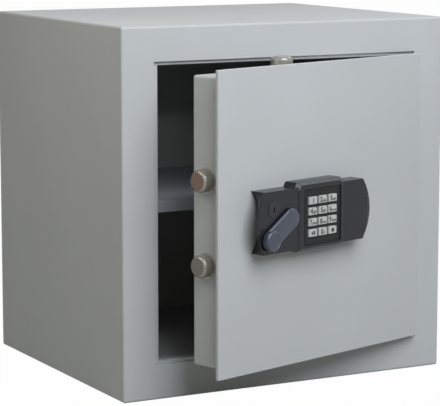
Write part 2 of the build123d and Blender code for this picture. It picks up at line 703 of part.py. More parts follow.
def door_back_cover():
    """Flat sheet that closes the rear of the door case."""
    left, right, low, high = cover_edges()
    cover = door_block(left, right, DOOR_DEPTH, DOOR_DEPTH + COVER_SHEET, low, high)
    cover = fillet(cover.edges().filter_by(Axis.Y), COVER_INSET)
    for u, z in cover_screw_places():
        cover -= door_rod(u, z, DOOR_DEPTH - CUT, DOOR_DEPTH + COVER_SHEET + CUT,
                          SCREW_M4_RADIUS + SCREW_HOLE_GAP)
    return cover


def door_screw(u, z, tip, face):
    """An M4 socket screw through the door: its shank from tip to face, its head behind the face."""
    shank = door_rod(u, z, tip, face, SCREW_M4_RADIUS)
    head = door_rod(u, z, face, face + SCREW_M4_HEAD, SCREW_M4_HEAD_RADIUS)
    head_face = Pos(door_x(u), door_y(face + SCREW_M4_HEAD), z) * Rot(90, 0, 0)
    return shank + head - head_face * hexagon(SOCKET_ACROSS, SOCKET_DEPTH)


def cover_screws():
    """Eight screws through the rear cover into the case's flange."""
    tip = DOOR_DEPTH - CASE_SHEET
    return group([door_screw(u, z, tip, DOOR_DEPTH + COVER_SHEET) for u, z in cover_screw_places()])


def hard_plate():
    """Drill-resistant plate behind the lock area of the door plate."""
    half = HARD_PLATE_HEIGHT / 2
    left = UNIT_U - HARD_PLATE_WIDTH / 2
    plate = door_block(left, left + HARD_PLATE_WIDTH, PLATE, HARD_PLATE_REAR,
                       UNIT_Z - half, UNIT_Z + half)
    return plate - lock_holes(PLATE - CUT, HARD_PLATE_REAR + CUT)


# ================================================================ locking bolts
def round_bolt(length):
    """A bolt along +Z from the origin, with a tapered nose at its outer end."""
    nose = length - BOLT_NOSE
    profile = Polyline((0, 0), (BOLT_RADIUS, 0), (BOLT_RADIUS, nose),
                       (BOLT_RADIUS - BOLT_NOSE_TAPER, length), (0, length), (0, 0))
    return revolve(make_face(Plane.XZ * profile), Axis.Z)


def side_bolt(z):
    """A bolt at the free side of the door, thrown."""
    end = door_x(SIDE_BOLT_END_U)
    y = door_y(BOLT_DEPTH)
    bolt = Pos(end, y, z) * Rot(0, -90, 0) * round_bolt(SIDE_BOLT_LENGTH)
    return bolt - rod_x(end - BOLT_SCREW_DEPTH - SEAT_GAP, end + CUT, y, z, SCREW_M6_RADIUS + PRESS_GAP)


def bolt_screws():
    """Screws that hold the two side bolts to the carriage bar."""
    end = door_x(SIDE_BOLT_END_U)
    face = end + CARRIAGE_BAR
    screws = []
    for z in SIDE_BOLT_HEIGHTS:
        shank = rod_x(end - BOLT_SCREW_DEPTH, face, door_y(BOLT_DEPTH), z, SCREW_M6_RADIUS)
        head = rod_x(face, face + SCREW_M6_HEAD, door_y(BOLT_DEPTH), z, SCREW_M6_HEAD_RADIUS)
        socket = Pos(face + SCREW_M6_HEAD, door_y(BOLT_DEPTH), z) * Rot(0, 90, 0)
        screws.append(shank + head - socket * hexagon(2 * SOCKET_ACROSS, SOCKET_DEPTH))
    return group(screws)


def side_carriage():
    """Upright bar that joins the side bolts, and the slotted plate that the drive pin moves."""
    bar_left = SIDE_BOLT_END_U
    bar_right = bar_left + CARRIAGE_BAR
    half = SIDE_BOLT_PITCH / 2 + CARRIAGE_BAR_OVERHANG
    bar_front = SIDE_YOKE_FRONT
    bar_rear = BOLT_DEPTH + CARRIAGE_BAR_WIDTH / 2
    bar = door_block(bar_left, bar_right, bar_front, bar_rear, MID_HEIGHT - half, MID_HEIGHT + half)
    slot_u = LEVER_U - PIN_SWING
    yoke_low = LEVER_Z + YOKE_NEAR
    yoke_high = LEVER_Z + SLOT_FAR + YOKE_MARGIN
    yoke_rear = SIDE_YOKE_FRONT + SIDE_YOKE
    yoke = door_block(bar_left, slot_u + SLOT_HALF_WIDTH + YOKE_MARGIN, SIDE_YOKE_FRONT, yoke_rear,
                      yoke_low, yoke_high)
    pin_slot = door_block(slot_u - SLOT_HALF_WIDTH, slot_u + SLOT_HALF_WIDTH, SIDE_YOKE_FRONT - CUT,
                          yoke_rear + CUT, LEVER_Z + SLOT_NEAR, LEVER_Z + SLOT_FAR)
    hole = SCREW_M6_RADIUS + SCREW_HOLE_GAP
    carriage = bar + yoke - pin_slot
    wide = STUD_RADIUS + STUD_FIT
    stud_z = side_stud_z()
    carriage -= door_block(SIDE_STUD_U - BOLT_THROW - wide, SIDE_STUD_U + wide, SIDE_YOKE_FRONT - CUT,
                           yoke_rear + CUT, stud_z - wide, stud_z + wide)
    for z in SIDE_BOLT_HEIGHTS:
        carriage -= rod_x(door_x(bar_left) - CUT, door_x(bar_right) + CUT, door_y(BOLT_DEPTH), z, hole)
    return carriage


def side_stud_z():
    """Height of the stud that guides the side carriage: the middle of its slotted plate."""
    return LEVER_Z + (YOKE_NEAR + SLOT_FAR + YOKE_MARGIN) / 2


def end_bolt(sign):
    """The top bolt (sign +1) or the bottom bolt (sign -1), thrown, with a slot for its rod."""
    end, root = end_bolt_span(sign)
    turn = Rot(0, 0, 0) if sign > 0 else Rot(180, 0, 0)
    bolt = Pos(door_x(UNIT_U), door_y(BOLT_DEPTH), root) * turn * round_bolt(END_BOLT_LENGTH)
    front, sheet = (TOP_ROD_FRONT, TOP_ROD) if sign > 0 else (BOTTOM_ROD_FRONT, BOTTOM_ROD)
    reach = root + sign * (ROD_INTO_BOLT + SEAT_GAP)
    half = ROD_WIDTH / 2 + SEAT_GAP
    return bolt - door_block(UNIT_U - half, UNIT_U + half, front - PRESS_GAP, front + sheet + PRESS_GAP,
                             root - sign, reach)


def end_bolt_span(sign):
    """Heights of the outer end and the inner end of the top or bottom bolt."""
    outer = CASE_HIGH + END_BOLT_OUT if sign > 0 else CASE_LOW - END_BOLT_OUT
    return outer, outer - sign * END_BOLT_LENGTH


def top_rod():
    """Slotted plate and rod that pull the top bolt down."""
    root = end_bolt_span(1)[1]
    rear = TOP_ROD_FRONT + TOP_ROD
    low = LEVER_Z + PIN_SWING - SLOT_HALF_WIDTH - YOKE_MARGIN
    head_high = LEVER_Z + PIN_SWING + SLOT_HALF_WIDTH + YOKE_MARGIN
    right = UNIT_U + ROD_WIDTH / 2
    head = door_block(LEVER_U + YOKE_NEAR, right, TOP_ROD_FRONT, rear, low, head_high)
    rod = door_block(UNIT_U - ROD_WIDTH / 2, right, TOP_ROD_FRONT, rear, low, root + ROD_INTO_BOLT)
    pin_z = LEVER_Z + PIN_SWING
    slot = door_block(LEVER_U + SLOT_NEAR, LEVER_U + SLOT_FAR, TOP_ROD_FRONT - CUT, rear + CUT,
                      pin_z - SLOT_HALF_WIDTH, pin_z + SLOT_HALF_WIDTH)
    wide = STUD_RADIUS + STUD_FIT
    guide = door_block(UNIT_U - wide, UNIT_U + wide, TOP_ROD_FRONT - CUT, rear + CUT,
                       TOP_STUD_Z - wide, TOP_STUD_Z + BOLT_THROW + wide)
    return head + rod - slot - guide


def bottom_rod():
    """Slotted plate and rod that lift the bottom bolt; its band passes below the spindle."""
    root = end_bolt_span(-1)[1]
    front = BOTTOM_ROD_FRONT
    rear = front + BOTTOM_ROD
    pin_z = LEVER_Z - PIN_SWING
    band_high = LEVER_Z - SPINDLE_RADIUS - SPINDLE_CLEARANCE - BOLT_THROW
    band_low = band_high - BOTTOM_BAND
    left = LEVER_U - SLOT_FAR - YOKE_MARGIN
    head = door_block(left, LEVER_U - YOKE_NEAR, front, rear, band_low,
                      pin_z + SLOT_HALF_WIDTH + YOKE_MARGIN)
    band = door_block(left, UNIT_U + ROD_WIDTH / 2, front, rear, band_low, band_high)
    rod = door_block(UNIT_U - ROD_WIDTH / 2, UNIT_U + ROD_WIDTH / 2, front, rear,
                     root - ROD_INTO_BOLT, band_high)
    slot = door_block(LEVER_U - SLOT_FAR, LEVER_U - SLOT_NEAR, front - CUT, rear + CUT,
                      pin_z - SLOT_HALF_WIDTH, pin_z + SLOT_HALF_WIDTH)
    wide = STUD_RADIUS + STUD_FIT
    guide = door_block(UNIT_U - wide, UNIT_U + wide, front - CUT, rear + CUT,
                       BOTTOM_STUD_Z - BOLT_THROW - wide, BOTTOM_STUD_Z + wide)
    return head + band + rod - slot - guide


def bolt_collars():
    """Guide collars pressed into the door case, one round each bolt."""
    outer = BOLT_RADIUS + BOLT_FIT + COLLAR_WALL
    bore = BOLT_RADIUS + BOLT_FIT
    left = door_x(CASE_LEFT_U)
    y = door_y(BOLT_DEPTH)
    x = door_x(UNIT_U)
    collars = []
    for z in SIDE_BOLT_HEIGHTS:
        collar = rod_x(left - COLLAR_PROUD, left + COLLAR_INSIDE, y, z, outer)
        collars.append(collar - rod_x(left - COLLAR_PROUD - CUT, left + COLLAR_INSIDE + CUT, y, z, bore))
    spans = ((CASE_LOW - COLLAR_PROUD, CASE_LOW + COLLAR_INSIDE),
             (CASE_HIGH - COLLAR_INSIDE, CASE_HIGH + COLLAR_PROUD))
    for low, high in spans:
        collars.append(rod_z(x, y, low, high, outer) - rod_z(x, y, low - CUT, high + CUT, bore))
    return group(collars)


def guide_studs():
    """Headed studs on the door plate that the carriage and the two rods slide along."""
    places = ((SIDE_STUD_U, side_stud_z(), HARD_PLATE_REAR, SIDE_YOKE_FRONT + SIDE_YOKE),
              (UNIT_U, TOP_STUD_Z, PLATE, TOP_ROD_FRONT + TOP_ROD),
              (UNIT_U, BOTTOM_STUD_Z, PLATE, BOTTOM_ROD_FRONT + BOTTOM_ROD))
    studs = []
    for u, z, root, plate_rear in places:
        neck = plate_rear + STUD_FIT
        shank = door_rod(u, z, root, neck, STUD_RADIUS)
        studs.append(shank + door_rod(u, z, neck, neck + STUD_HEAD, STUD_HEAD_RADIUS))
    return group(studs)


# ================================================================ spindle, disc and motor lock
def spindle():
    """Round shaft from the lever to the drive disc, with a groove for its clip."""
    shaft = door_rod(LEVER_U, LEVER_Z, -LEVER_ARM_TOP + LEVER_CAP, SPINDLE_END, SPINDLE_RADIUS)
    clip_front, clip_rear = clip_span()
    band = door_rod(LEVER_U, LEVER_Z, clip_front - RUNNING_GAP, clip_rear + RUNNING_GAP, CLIP_RADIUS)
    core = door_rod(LEVER_U, LEVER_Z, clip_front - CUT, clip_rear + CUT, CLIP_GROOVE_RADIUS)
    return shaft - (band - core)


def clip_span():
    """Depths of the front and rear faces of the spindle's clip."""
    rear = SPINDLE_END - CLIP
    return rear - CLIP, rear


def spindle_clip():
    """Open spring clip in the spindle's groove."""
    front, rear = clip_span()
    ring = door_rod(LEVER_U, LEVER_Z, front, rear, CLIP_RADIUS)
    ring -= door_rod(LEVER_U, LEVER_Z, front - CUT, rear + CUT, CLIP_GROOVE_RADIUS + RUNNING_GAP)
    half = CLIP_MOUTH / 2
    mouth = door_block(LEVER_U - half, LEVER_U + half, front - CUT, rear + CUT,
                       LEVER_Z - 2 * CLIP_RADIUS, LEVER_Z)
    return ring - mouth


def spindle_bush():
    """Flanged bush that carries the spindle in the door plate and the hard plate."""
    body = door_rod(LEVER_U, LEVER_Z, 0, RETAINER_REAR, SPINDLE_BUSH_RADIUS)
    flange = door_rod(LEVER_U, LEVER_Z, HARD_PLATE_REAR, RETAINER_REAR, SPINDLE_BUSH_FLANGE_RADIUS)
    bore = door_rod(LEVER_U, LEVER_Z, -CUT, RETAINER_REAR + CUT, SPINDLE_RADIUS + RUNNING_GAP)
    return body + flange - bore


def drive_disc():
    """Disc on the spindle with three drive pins and the notch that the lock bar enters."""
    disc = door_rod(LEVER_U, LEVER_Z, DISC_FRONT, DISC_REAR, DISC_RADIUS)
    near, swing_by = PIN_NEAR, PIN_SWING
    side_front = SIDE_YOKE_FRONT
    top_rear = TOP_ROD_FRONT + TOP_ROD + STUD_FIT
    bottom_rear = BOTTOM_ROD_FRONT + BOTTOM_ROD + STUD_FIT
    disc += door_rod(LEVER_U - swing_by, LEVER_Z + near, side_front, DISC_FRONT + CUT, DRIVE_PIN_RADIUS)
    disc += door_rod(LEVER_U + near, LEVER_Z + swing_by, DISC_REAR - CUT, top_rear, DRIVE_PIN_RADIUS)
    disc += door_rod(LEVER_U - near, LEVER_Z - swing_by, DISC_REAR - CUT, bottom_rear, DRIVE_PIN_RADIUS)
    disc -= door_rod(LEVER_U, LEVER_Z, DISC_FRONT - CUT, DISC_REAR + CUT, SPINDLE_RADIUS + PRESS_GAP)
    half = LOCK_BAR_HEIGHT / 2 + STUD_FIT
    floor = LEVER_U + DISC_RADIUS + LOCK_BAR_SHY - LOCK_BAR_TRAVEL - NOTCH_FLOOR_GAP
    return disc - door_block(floor, LEVER_U + 2 * DISC_RADIUS, DISC_FRONT - CUT, DISC_REAR + CUT,
                             LEVER_Z - half, LEVER_Z + half)


def lock_bar_front():
    """Depth of the lock bar's front face: the bar lies in the middle of the disc's thickness."""
    return DISC_FRONT + (DISC - LOCK_BAR) / 2


def lock_bar():
    """Blocking bar of the motor lock, drawn back out of the disc's notch."""
    tip = LEVER_U + DISC_RADIUS + LOCK_BAR_SHY
    half = LOCK_BAR_HEIGHT / 2
    front = lock_bar_front()
    return door_block(tip, LOCK_CASE_U + LOCK_BAR_INSIDE, front, front + LOCK_BAR,
                      LEVER_Z - half, LEVER_Z + half)


def lock_screw_places():
    """(u, z) of the four screws through the motor lock."""
    centre_u = LOCK_CASE_U + LOCK_CASE_WIDTH / 2
    places = corner_places(LOCK_CASE_WIDTH / 2 - LOCK_SCREW_INSET,
                           LOCK_CASE_HEIGHT / 2 - LOCK_SCREW_INSET)
    return [(centre_u + du, LEVER_Z + dz) for du, dz in places]


def lock_case():
    """Housing of the motor lock, with the channel its bar slides in."""
    half = LOCK_CASE_HEIGHT / 2
    case = door_block(LOCK_CASE_U, LOCK_CASE_U + LOCK_CASE_WIDTH, HARD_PLATE_REAR, LOCK_CASE_REAR,
                      LEVER_Z - half, LEVER_Z + half)
    case = fillet(case.edges().filter_by(Axis.Y), SCREW_M4_HEAD_RADIUS)
    front = lock_bar_front()
    bar_half = LOCK_BAR_HEIGHT / 2 + STUD_FIT
    case -= door_block(LOCK_CASE_U - CUT, LOCK_CASE_U + LOCK_BAR_INSIDE + SEAT_GAP, front - STUD_FIT,
                       front + LOCK_BAR + STUD_FIT, LEVER_Z - bar_half, LEVER_Z + bar_half)
    screw_hole = SCREW_M4_RADIUS + SCREW_HOLE_GAP
    for u, z in lock_screw_places():
        case -= door_rod(u, z, HARD_PLATE_REAR - CUT, LOCK_CASE_REAR + CUT, screw_hole)
    return case


def lock_screws():
    """Four screws that hold the motor lock to the hard plate."""
    return group([door_screw(u, z, HARD_PLATE_REAR, LOCK_CASE_REAR) for u, z in lock_screw_places()])


# ================================================================ lock housing
def wing_outline(height, bulge):
    """The housing's outline at a height above the plate: level edges, and ends curved by bulge."""
    half_u, half_z = UNIT_WIDTH / 2, UNIT_HEIGHT / 2
    top = Line((-half_u, half_z), (half_u, half_z))
    right = ThreePointArc((half_u, half_z), (half_u + bulge, 0), (half_u, -half_z))
    bottom = Line((half_u, -half_z), (-half_u, -half_z))
    left = ThreePointArc((-half_u, -half_z), (-half_u - bulge, 0), (-half_u, half_z))
    return front_plane(UNIT_U, UNIT_Z, height) * make_face([top, right, bottom, left])


def block_outline(height, inset):
    """Outline of the raised middle block at a height above the plate, smaller by inset."""
    left, right = BLOCK_LEFT + inset, BLOCK_RIGHT - inset
    low = UNIT_Z - UNIT_HEIGHT / 2 - BLOCK_BELOW + inset
    high = UNIT_Z + UNIT_HEIGHT / 2 + BLOCK_ABOVE - inset
    low_step = low + BLOCK_BELOW
    high_step = high - BLOCK_ABOVE
    points = [(left, low_step), (left + BLOCK_CORNER, low),
              (right - BLOCK_CORNER, low), (right, low_step),
              (right, high_step), (right - BLOCK_CORNER, high),
              (left + BLOCK_CORNER, high), (left, high_step)]
    return front_plane(0, 0, height) * make_face(Polyline(*points, close=True))


def post_places():
    """(u, z) of the four screw posts inside the lock housing."""
    return [(u, UNIT_Z + sign * POST_RISE) for u in (POST_LEFT_U, POST_RIGHT_U) for sign in (-1, 1)]


def housing_pockets():
    """Hollows in the housing, open towards the plate, with the screw posts and pivot boss left solid."""
    half = POCKET_HEIGHT / 2
    low, high = UNIT_Z - half, UNIT_Z + half
    roof = UNIT_FACE - UNIT_SKIN
    pad_left = KEYPAD_U - KEYPAD_WIDTH / 2 - UNIT_SKIN
    pad_right = KEYPAD_U + KEYPAD_WIDTH / 2 + UNIT_SKIN
    left = door_block(LEFT_POCKET_U, pad_left, -roof, CUT, low, high)
    middle = door_block(pad_left, pad_right, -(KEY_FLOOR - UNIT_SKIN), CUT, low, high)
    right = door_block(pad_right, RIGHT_POCKET_U, -roof, CUT, low, high)
    hollows = left + middle + right
    for u, z in post_places():
        hollows -= door_rod(u, z, -roof - CUT, 2 * CUT, POST_RADIUS)
    return hollows - door_rod(LEVER_U, LEVER_Z, -roof - CUT, 2 * CUT, PIVOT_BOSS_RADIUS)


def lock_housing():
    """Moulded housing: two wings with scooped ends, and a raised middle block for the keypad."""
    foot = wing_outline(0, -END_SCOOP)
    rim = wing_outline(UNIT_RIM, END_BULGE)
    face = wing_outline(UNIT_FACE, END_BULGE_AT_FACE)
    lower = loft([foot, rim], ruled=True)
    upper = loft([rim, face], ruled=True)
    stem = extrude(block_outline(0, 0), BLOCK_SHOULDER)
    cap = loft([block_outline(BLOCK_SHOULDER, 0), block_outline(BLOCK_FACE, BLOCK_BEVEL)], ruled=True)
    housing = lower + upper + stem + cap - housing_pockets()
    half_u, half_z = KEYPAD_WIDTH / 2, KEYPAD_HEIGHT / 2
    housing -= door_block(KEYPAD_U - half_u, KEYPAD_U + half_u, -BLOCK_FACE - CUT, -KEY_FLOOR,
                          KEYPAD_Z - half_z, KEYPAD_Z + half_z)
    housing -= door_rod(LEVER_U, LEVER_Z, -UNIT_FACE - CUT, CUT, SPINDLE_RADIUS + SCREW_HOLE_GAP)
    housing -= door_rod(CYLINDER_U, CYLINDER_Z, -UNIT_FACE - CUT, -CYLINDER_BODY_FLOOR,
                        CYLINDER_BODY_RADIUS + PRESS_GAP)
    housing -= door_rod(CYLINDER_U, CYLINDER_Z, -UNIT_FACE, CUT, PLUG_TAIL_RADIUS + STUD_FIT)
    for u, z in post_places():
        housing -= door_rod(u, z, -POST_SCREW_DEPTH, CUT, SCREW_M4_RADIUS + PRESS_GAP)
    return housing


def housing_screws():
    """Screws through the door plate into the housing's posts."""
    tip = -POST_SCREW_DEPTH + SEAT_GAP
    return group([door_screw(u, z, tip, HARD_PLATE_REAR) for u, z in post_places()])


# ================================================================ keypad
def key_places():
    """(row, column, u, z) of the twelve keys, from the top left."""
    places = []
    for row in range(4):
        for column in range(3):
            u = KEYPAD_U + (column - 1) * KEY_PITCH_U
            z = KEYPAD_Z + (1.5 - row) * KEY_PITCH_Z
            places.append((row, column, u, z))
    return places


def keypad_panel():
    """Dark panel with twelve key openings and a rim that holds the mat and board down."""
    half_u = KEYPAD_WIDTH / 2 - SCREW_HOLE_GAP
    half_z = KEYPAD_HEIGHT / 2 - SCREW_HOLE_GAP
    left, right = KEYPAD_U - half_u, KEYPAD_U + half_u
    low, high = KEYPAD_Z - half_z, KEYPAD_Z + half_z
    rim_floor = KEY_FLOOR + BOARD + MAT
    panel = door_block(left, right, -KEYPAD_FACE, -rim_floor, low, high)
    panel -= door_block(left + KEYPAD_RIM, right - KEYPAD_RIM, -KEYPAD_REAR, 0,
                        low + KEYPAD_RIM, high - KEYPAD_RIM)
    half_w, half_h = KEY_WIDTH / 2 + KEY_GAP, KEY_HEIGHT / 2 + KEY_GAP
    for _row, _column, u, z in key_places():
        panel -= door_block(u - half_w, u + half_w, -KEYPAD_FACE - CUT, -KEYPAD_REAR + CUT,
                            z - half_h, z + half_h)
    return panel


def keypad_layer(floor, thickness):
    """A sheet that fills the keypad pocket, from a floor height up."""
    half_u = KEYPAD_WIDTH / 2 - SCREW_HOLE_GAP
    half_z = KEYPAD_HEIGHT / 2 - SCREW_HOLE_GAP
    return door_block(KEYPAD_U - half_u, KEYPAD_U + half_u, -floor - thickness, -floor,
                      KEYPAD_Z - half_z, KEYPAD_Z + half_z)


def circuit_board():
    """Keypad circuit board on the floor of its pocket."""
    return keypad_layer(KEY_FLOOR, BOARD)


def key_mat():
    """Rubber contact mat on the circuit board."""
    return keypad_layer(KEY_FLOOR + BOARD, MAT)


def key(u, z):
    """One key: a cap that stands through the panel and a flange that keeps it in."""
    half_w, half_h = KEY_WIDTH / 2, KEY_HEIGHT / 2
    cap_foot = KEY_FLANGE / 2 - KEY_FLANGE_TOP
    cap = door_block(u - half_w, u + half_w, -KEY_TOP, cap_foot, z - half_h, z + half_h)
    front = cap.faces().sort_by(Axis.Y)[0]
    cap = fillet(front.edges(), KEY_EDGE)
    over = KEY_FLANGE_OVERHANG
    flange = door_block(u - half_w - over, u + half_w + over, -KEY_FLANGE_TOP, KEY_FLANGE - KEY_FLANGE_TOP,
                        z - half_h - over, z + half_h + over)
    return cap + flange


def battery_cells():
    """Two round cells in the right-hand wing of the housing."""
    cells = []
    for index in range(2):
        u = CELL_FIRST_U + index * CELL_PITCH
        y = door_y(-CELL_RADIUS - SEAT_GAP)
        half = CELL_LENGTH / 2
        cells.append(rod_z(door_x(u), y, UNIT_Z - half, UNIT_Z + half, CELL_RADIUS))
    return group(cells)


# ================================================================ emergency cylinder
def key_cylinder():
    """Round cylinder body with a thin rim on the housing's face."""
    body = door_rod(CYLINDER_U, CYLINDER_Z, -UNIT_FACE, -CYLINDER_BODY_FLOOR, CYLINDER_BODY_RADIUS)
    rim = door_rod(CYLINDER_U, CYLINDER_Z, -UNIT_FACE - CYLINDER_RIM, -UNIT_FACE, CYLINDER_RIM_RADIUS)
    bore = door_rod(CYLINDER_U, CYLINDER_Z, -UNIT_FACE - CYLINDER_RIM - CUT, 0, PLUG_RADIUS + RUNNING_GAP)
    return body + rim - bore


def cylinder_plug():
    """Plug with a keyway, and a tail through the door that ends in a small cam."""
    front = -UNIT_FACE - CYLINDER_RIM
    plug = door_rod(CYLINDER_U, CYLINDER_Z, front, -CYLINDER_BODY_FLOOR - SEAT_GAP, PLUG_RADIUS)
    tail = door_rod(CYLINDER_U, CYLINDER_Z, -CYLINDER_BODY_FLOOR - CUT, PLUG_TAIL_END, PLUG_TAIL_RADIUS)
    cam = door_block(CYLINDER_U - CAM_WIDTH / 2, CYLINDER_U + CAM_WIDTH / 2, PLUG_TAIL_END - CAM,
                     PLUG_TAIL_END, CYLINDER_Z - CAM_WIDTH / 2, CYLINDER_Z + CAM_LENGTH)
    half_u, half_z = KEYWAY_WIDTH / 2, KEYWAY_LENGTH / 2
    keyway = door_block(CYLINDER_U - half_u, CYLINDER_U + half_u, front - CUT, front + KEYWAY_DEPTH,
                        CYLINDER_Z - half_z, CYLINDER_Z + half_z)
    return plug + tail + cam - keyway


# ================================================================ lever
def lever_plane(height):
    """Sketch plane of the lever: origin on the spindle's axis, x towards the grip."""
    angle = math.radians(180 + LEVER_DROOP)
    x_dir = (math.cos(angle), 0, math.sin(angle))
    return Plane(origin=(door_x(LEVER_U), door_y(-height), LEVER_Z), x_dir=x_dir, z_dir=(0, -1, 0))


def lever():
    """Turning lever: a flat arm with round ends, a round boss to grip and a hub on the spindle."""
    middle = LEVER_REACH / 2
    outline = Pos(middle, 0) * SlotCenterToCenter(LEVER_REACH, LEVER_WIDTH)
    arm = extrude(lever_plane(LEVER_UNDERSIDE) * outline, LEVER_ARM_TOP - LEVER_UNDERSIDE)
    arm = fillet(arm.faces().sort_by(Axis.Y)[0].edges(), LEVER_EDGE)
    grip_outline = Pos(LEVER_REACH, 0) * Circle(LEVER_WIDTH / 2)
    grip = extrude(lever_plane(LEVER_UNDERSIDE) * grip_outline, LEVER_GRIP_TOP - LEVER_UNDERSIDE)
    grip = fillet(grip.faces().sort_by(Axis.Y)[0].edges(), LEVER_EDGE)
    hub = door_rod(LEVER_U, LEVER_Z, -LEVER_UNDERSIDE - CUT, -UNIT_FACE - SEAT_GAP, LEVER_HUB_RADIUS)
    whole = arm + grip + hub
    return whole - door_rod(LEVER_U, LEVER_Z, -LEVER_ARM_TOP + LEVER_CAP, 0, SPINDLE_RADIUS + PRESS_GAP)


# ================================================================ all the pieces
KEY_NAMES = (("key_1", "key_2", "key_3"), ("key_4", "key_5", "key_6"),
             ("key_7", "key_8", "key_9"), ("key_left", "key_0", "key_right"))


def body_pieces():
    """Pieces of the body, which stand still."""
    return {
        "outer_shell": outer_shell(),
        "back_plate": back_plate(),
        "rebate_frame": rebate_frame(),
        "inner_liner": inner_liner(),
        "filling_boards": filling_boards(),
        "anchor_sleeves": anchor_sleeves(),
        "shelf": shelf(),
        "shelf_rails": shelf_rails(),
        "hinge_lugs": hinge_lugs(),
        "hinge_pins": hinge_pins(),
        "thrust_washers": thrust_washers(),
    }


def door_pieces():
    """Pieces that swing with the door, drawn with the door shut."""
    pieces = {
        "door_plate": door_plate(),
        "door_case": door_case(),
        "door_back_cover": door_back_cover(),
        "cover_screws": cover_screws(),
        "hard_plate": hard_plate(),
        "upper_hinge_arm": hinge_arm(HINGE_HEIGHTS[1]),
        "lower_hinge_arm": hinge_arm(HINGE_HEIGHTS[0]),
        "hinge_bushes": hinge_bushes(),
        "arm_screws": arm_screws(),
        "arm_backers": arm_backers(),
        "bolt_collars": bolt_collars(),
        "guide_studs": guide_studs(),
        "upper_side_bolt": side_bolt(SIDE_BOLT_HEIGHTS[1]),
        "lower_side_bolt": side_bolt(SIDE_BOLT_HEIGHTS[0]),
        "bolt_screws": bolt_screws(),
        "side_carriage": side_carriage(),
        "top_bolt": end_bolt(1),
        "top_rod": top_rod(),
        "bottom_bolt": end_bolt(-1),
        "bottom_rod": bottom_rod(),
        "spindle": spindle(),
        "spindle_clip": spindle_clip(),
        "spindle_bush": spindle_bush(),
        "drive_disc": drive_disc(),
        "lock_bar": lock_bar(),
        "lock_case": lock_case(),
        "lock_screws": lock_screws(),
        "lock_housing": lock_housing(),
        "housing_screws": housing_screws(),
        "keypad_panel": keypad_panel(),
        "circuit_board": circuit_board(),
        "key_mat": key_mat(),
        "battery_cells": battery_cells(),
        "key_cylinder": key_cylinder(),
        "cylinder_plug": cylinder_plug(),
        "lever": lever(),
    }
    for row, column, u, z in key_places():
        pieces[KEY_NAMES[row][column]] = key(u, z)
    return pieces


def main():
    """Write one STEP file for each piece."""
    os.makedirs("parts", exist_ok=True)
    for name, shape in body_pieces().items():
        export_step(shape, os.path.join("parts", name + ".step"))
    for name, shape in door_pieces().items():
        export_step(swing(shape), os.path.join("parts", name + ".step"))


if __name__ == "__main__":
    main()
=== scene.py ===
"""Looks of a free-standing steel safe: finishes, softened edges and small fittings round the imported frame.

Lengths are in metres, in the frame's own axes, unless a name says otherwise. Places on the door are given
in the door's own directions: along it from the plate's left edge, up, and outward from its front face.
"""

import json
import logging
import math
from collections.abc import Callable, Iterable, Sequence
from dataclasses import dataclass, field
from enum import Enum

import bmesh
import bpy
from mathutils import Matrix, Vector


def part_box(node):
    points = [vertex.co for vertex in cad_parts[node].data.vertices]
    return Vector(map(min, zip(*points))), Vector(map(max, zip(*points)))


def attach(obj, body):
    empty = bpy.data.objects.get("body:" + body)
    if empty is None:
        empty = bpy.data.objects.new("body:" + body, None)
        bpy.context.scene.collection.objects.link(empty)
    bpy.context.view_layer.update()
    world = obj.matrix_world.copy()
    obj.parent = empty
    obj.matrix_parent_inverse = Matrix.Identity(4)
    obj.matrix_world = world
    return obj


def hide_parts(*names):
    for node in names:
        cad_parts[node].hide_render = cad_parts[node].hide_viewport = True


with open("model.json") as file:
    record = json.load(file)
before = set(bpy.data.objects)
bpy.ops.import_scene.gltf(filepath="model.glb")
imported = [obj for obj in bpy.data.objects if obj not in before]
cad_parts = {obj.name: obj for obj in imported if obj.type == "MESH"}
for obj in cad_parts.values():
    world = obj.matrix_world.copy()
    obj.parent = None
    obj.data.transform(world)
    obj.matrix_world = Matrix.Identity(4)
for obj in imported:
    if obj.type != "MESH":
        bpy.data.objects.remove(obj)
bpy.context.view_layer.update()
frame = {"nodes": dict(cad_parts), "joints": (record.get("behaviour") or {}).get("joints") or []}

MM = 0.001
HEXAGON = 6
UP = Vector((0.0, 0.0, 1.0))
ORIGIN = Vector((0.0, 0.0, 0.0))
WHITE = (1.0, 1.0, 1.0, 1.0)
IMAGE_WIDTH = 440
IMAGE_HEIGHT = 406
log = logging.getLogger("safe")

Tone = tuple[int, int, int]


def linear(tone: Tone) -> tuple[float, float, float, float]:
    """Turn a display colour into the linear colour that a shader takes.

    Args:
        tone: Red, green and blue from 0 to 255.

    Returns:
        Linear red, green, blue and an alpha of 1.
    """
    parts = []
    for value in tone:
        share = value / 255
        parts.append(share / 12.92 if share <= 0.04045 else ((share + 0.055) / 1.055) ** 2.4)
    return (parts[0], parts[1], parts[2], 1.0)


def shaded(tone: Tone, factor: float) -> tuple[float, float, float, float]:
    """The linear colour of a tone, made lighter or darker by a factor."""
    red, green, blue, alpha = linear(tone)
    return (red * factor, green * factor, blue * factor, alpha)


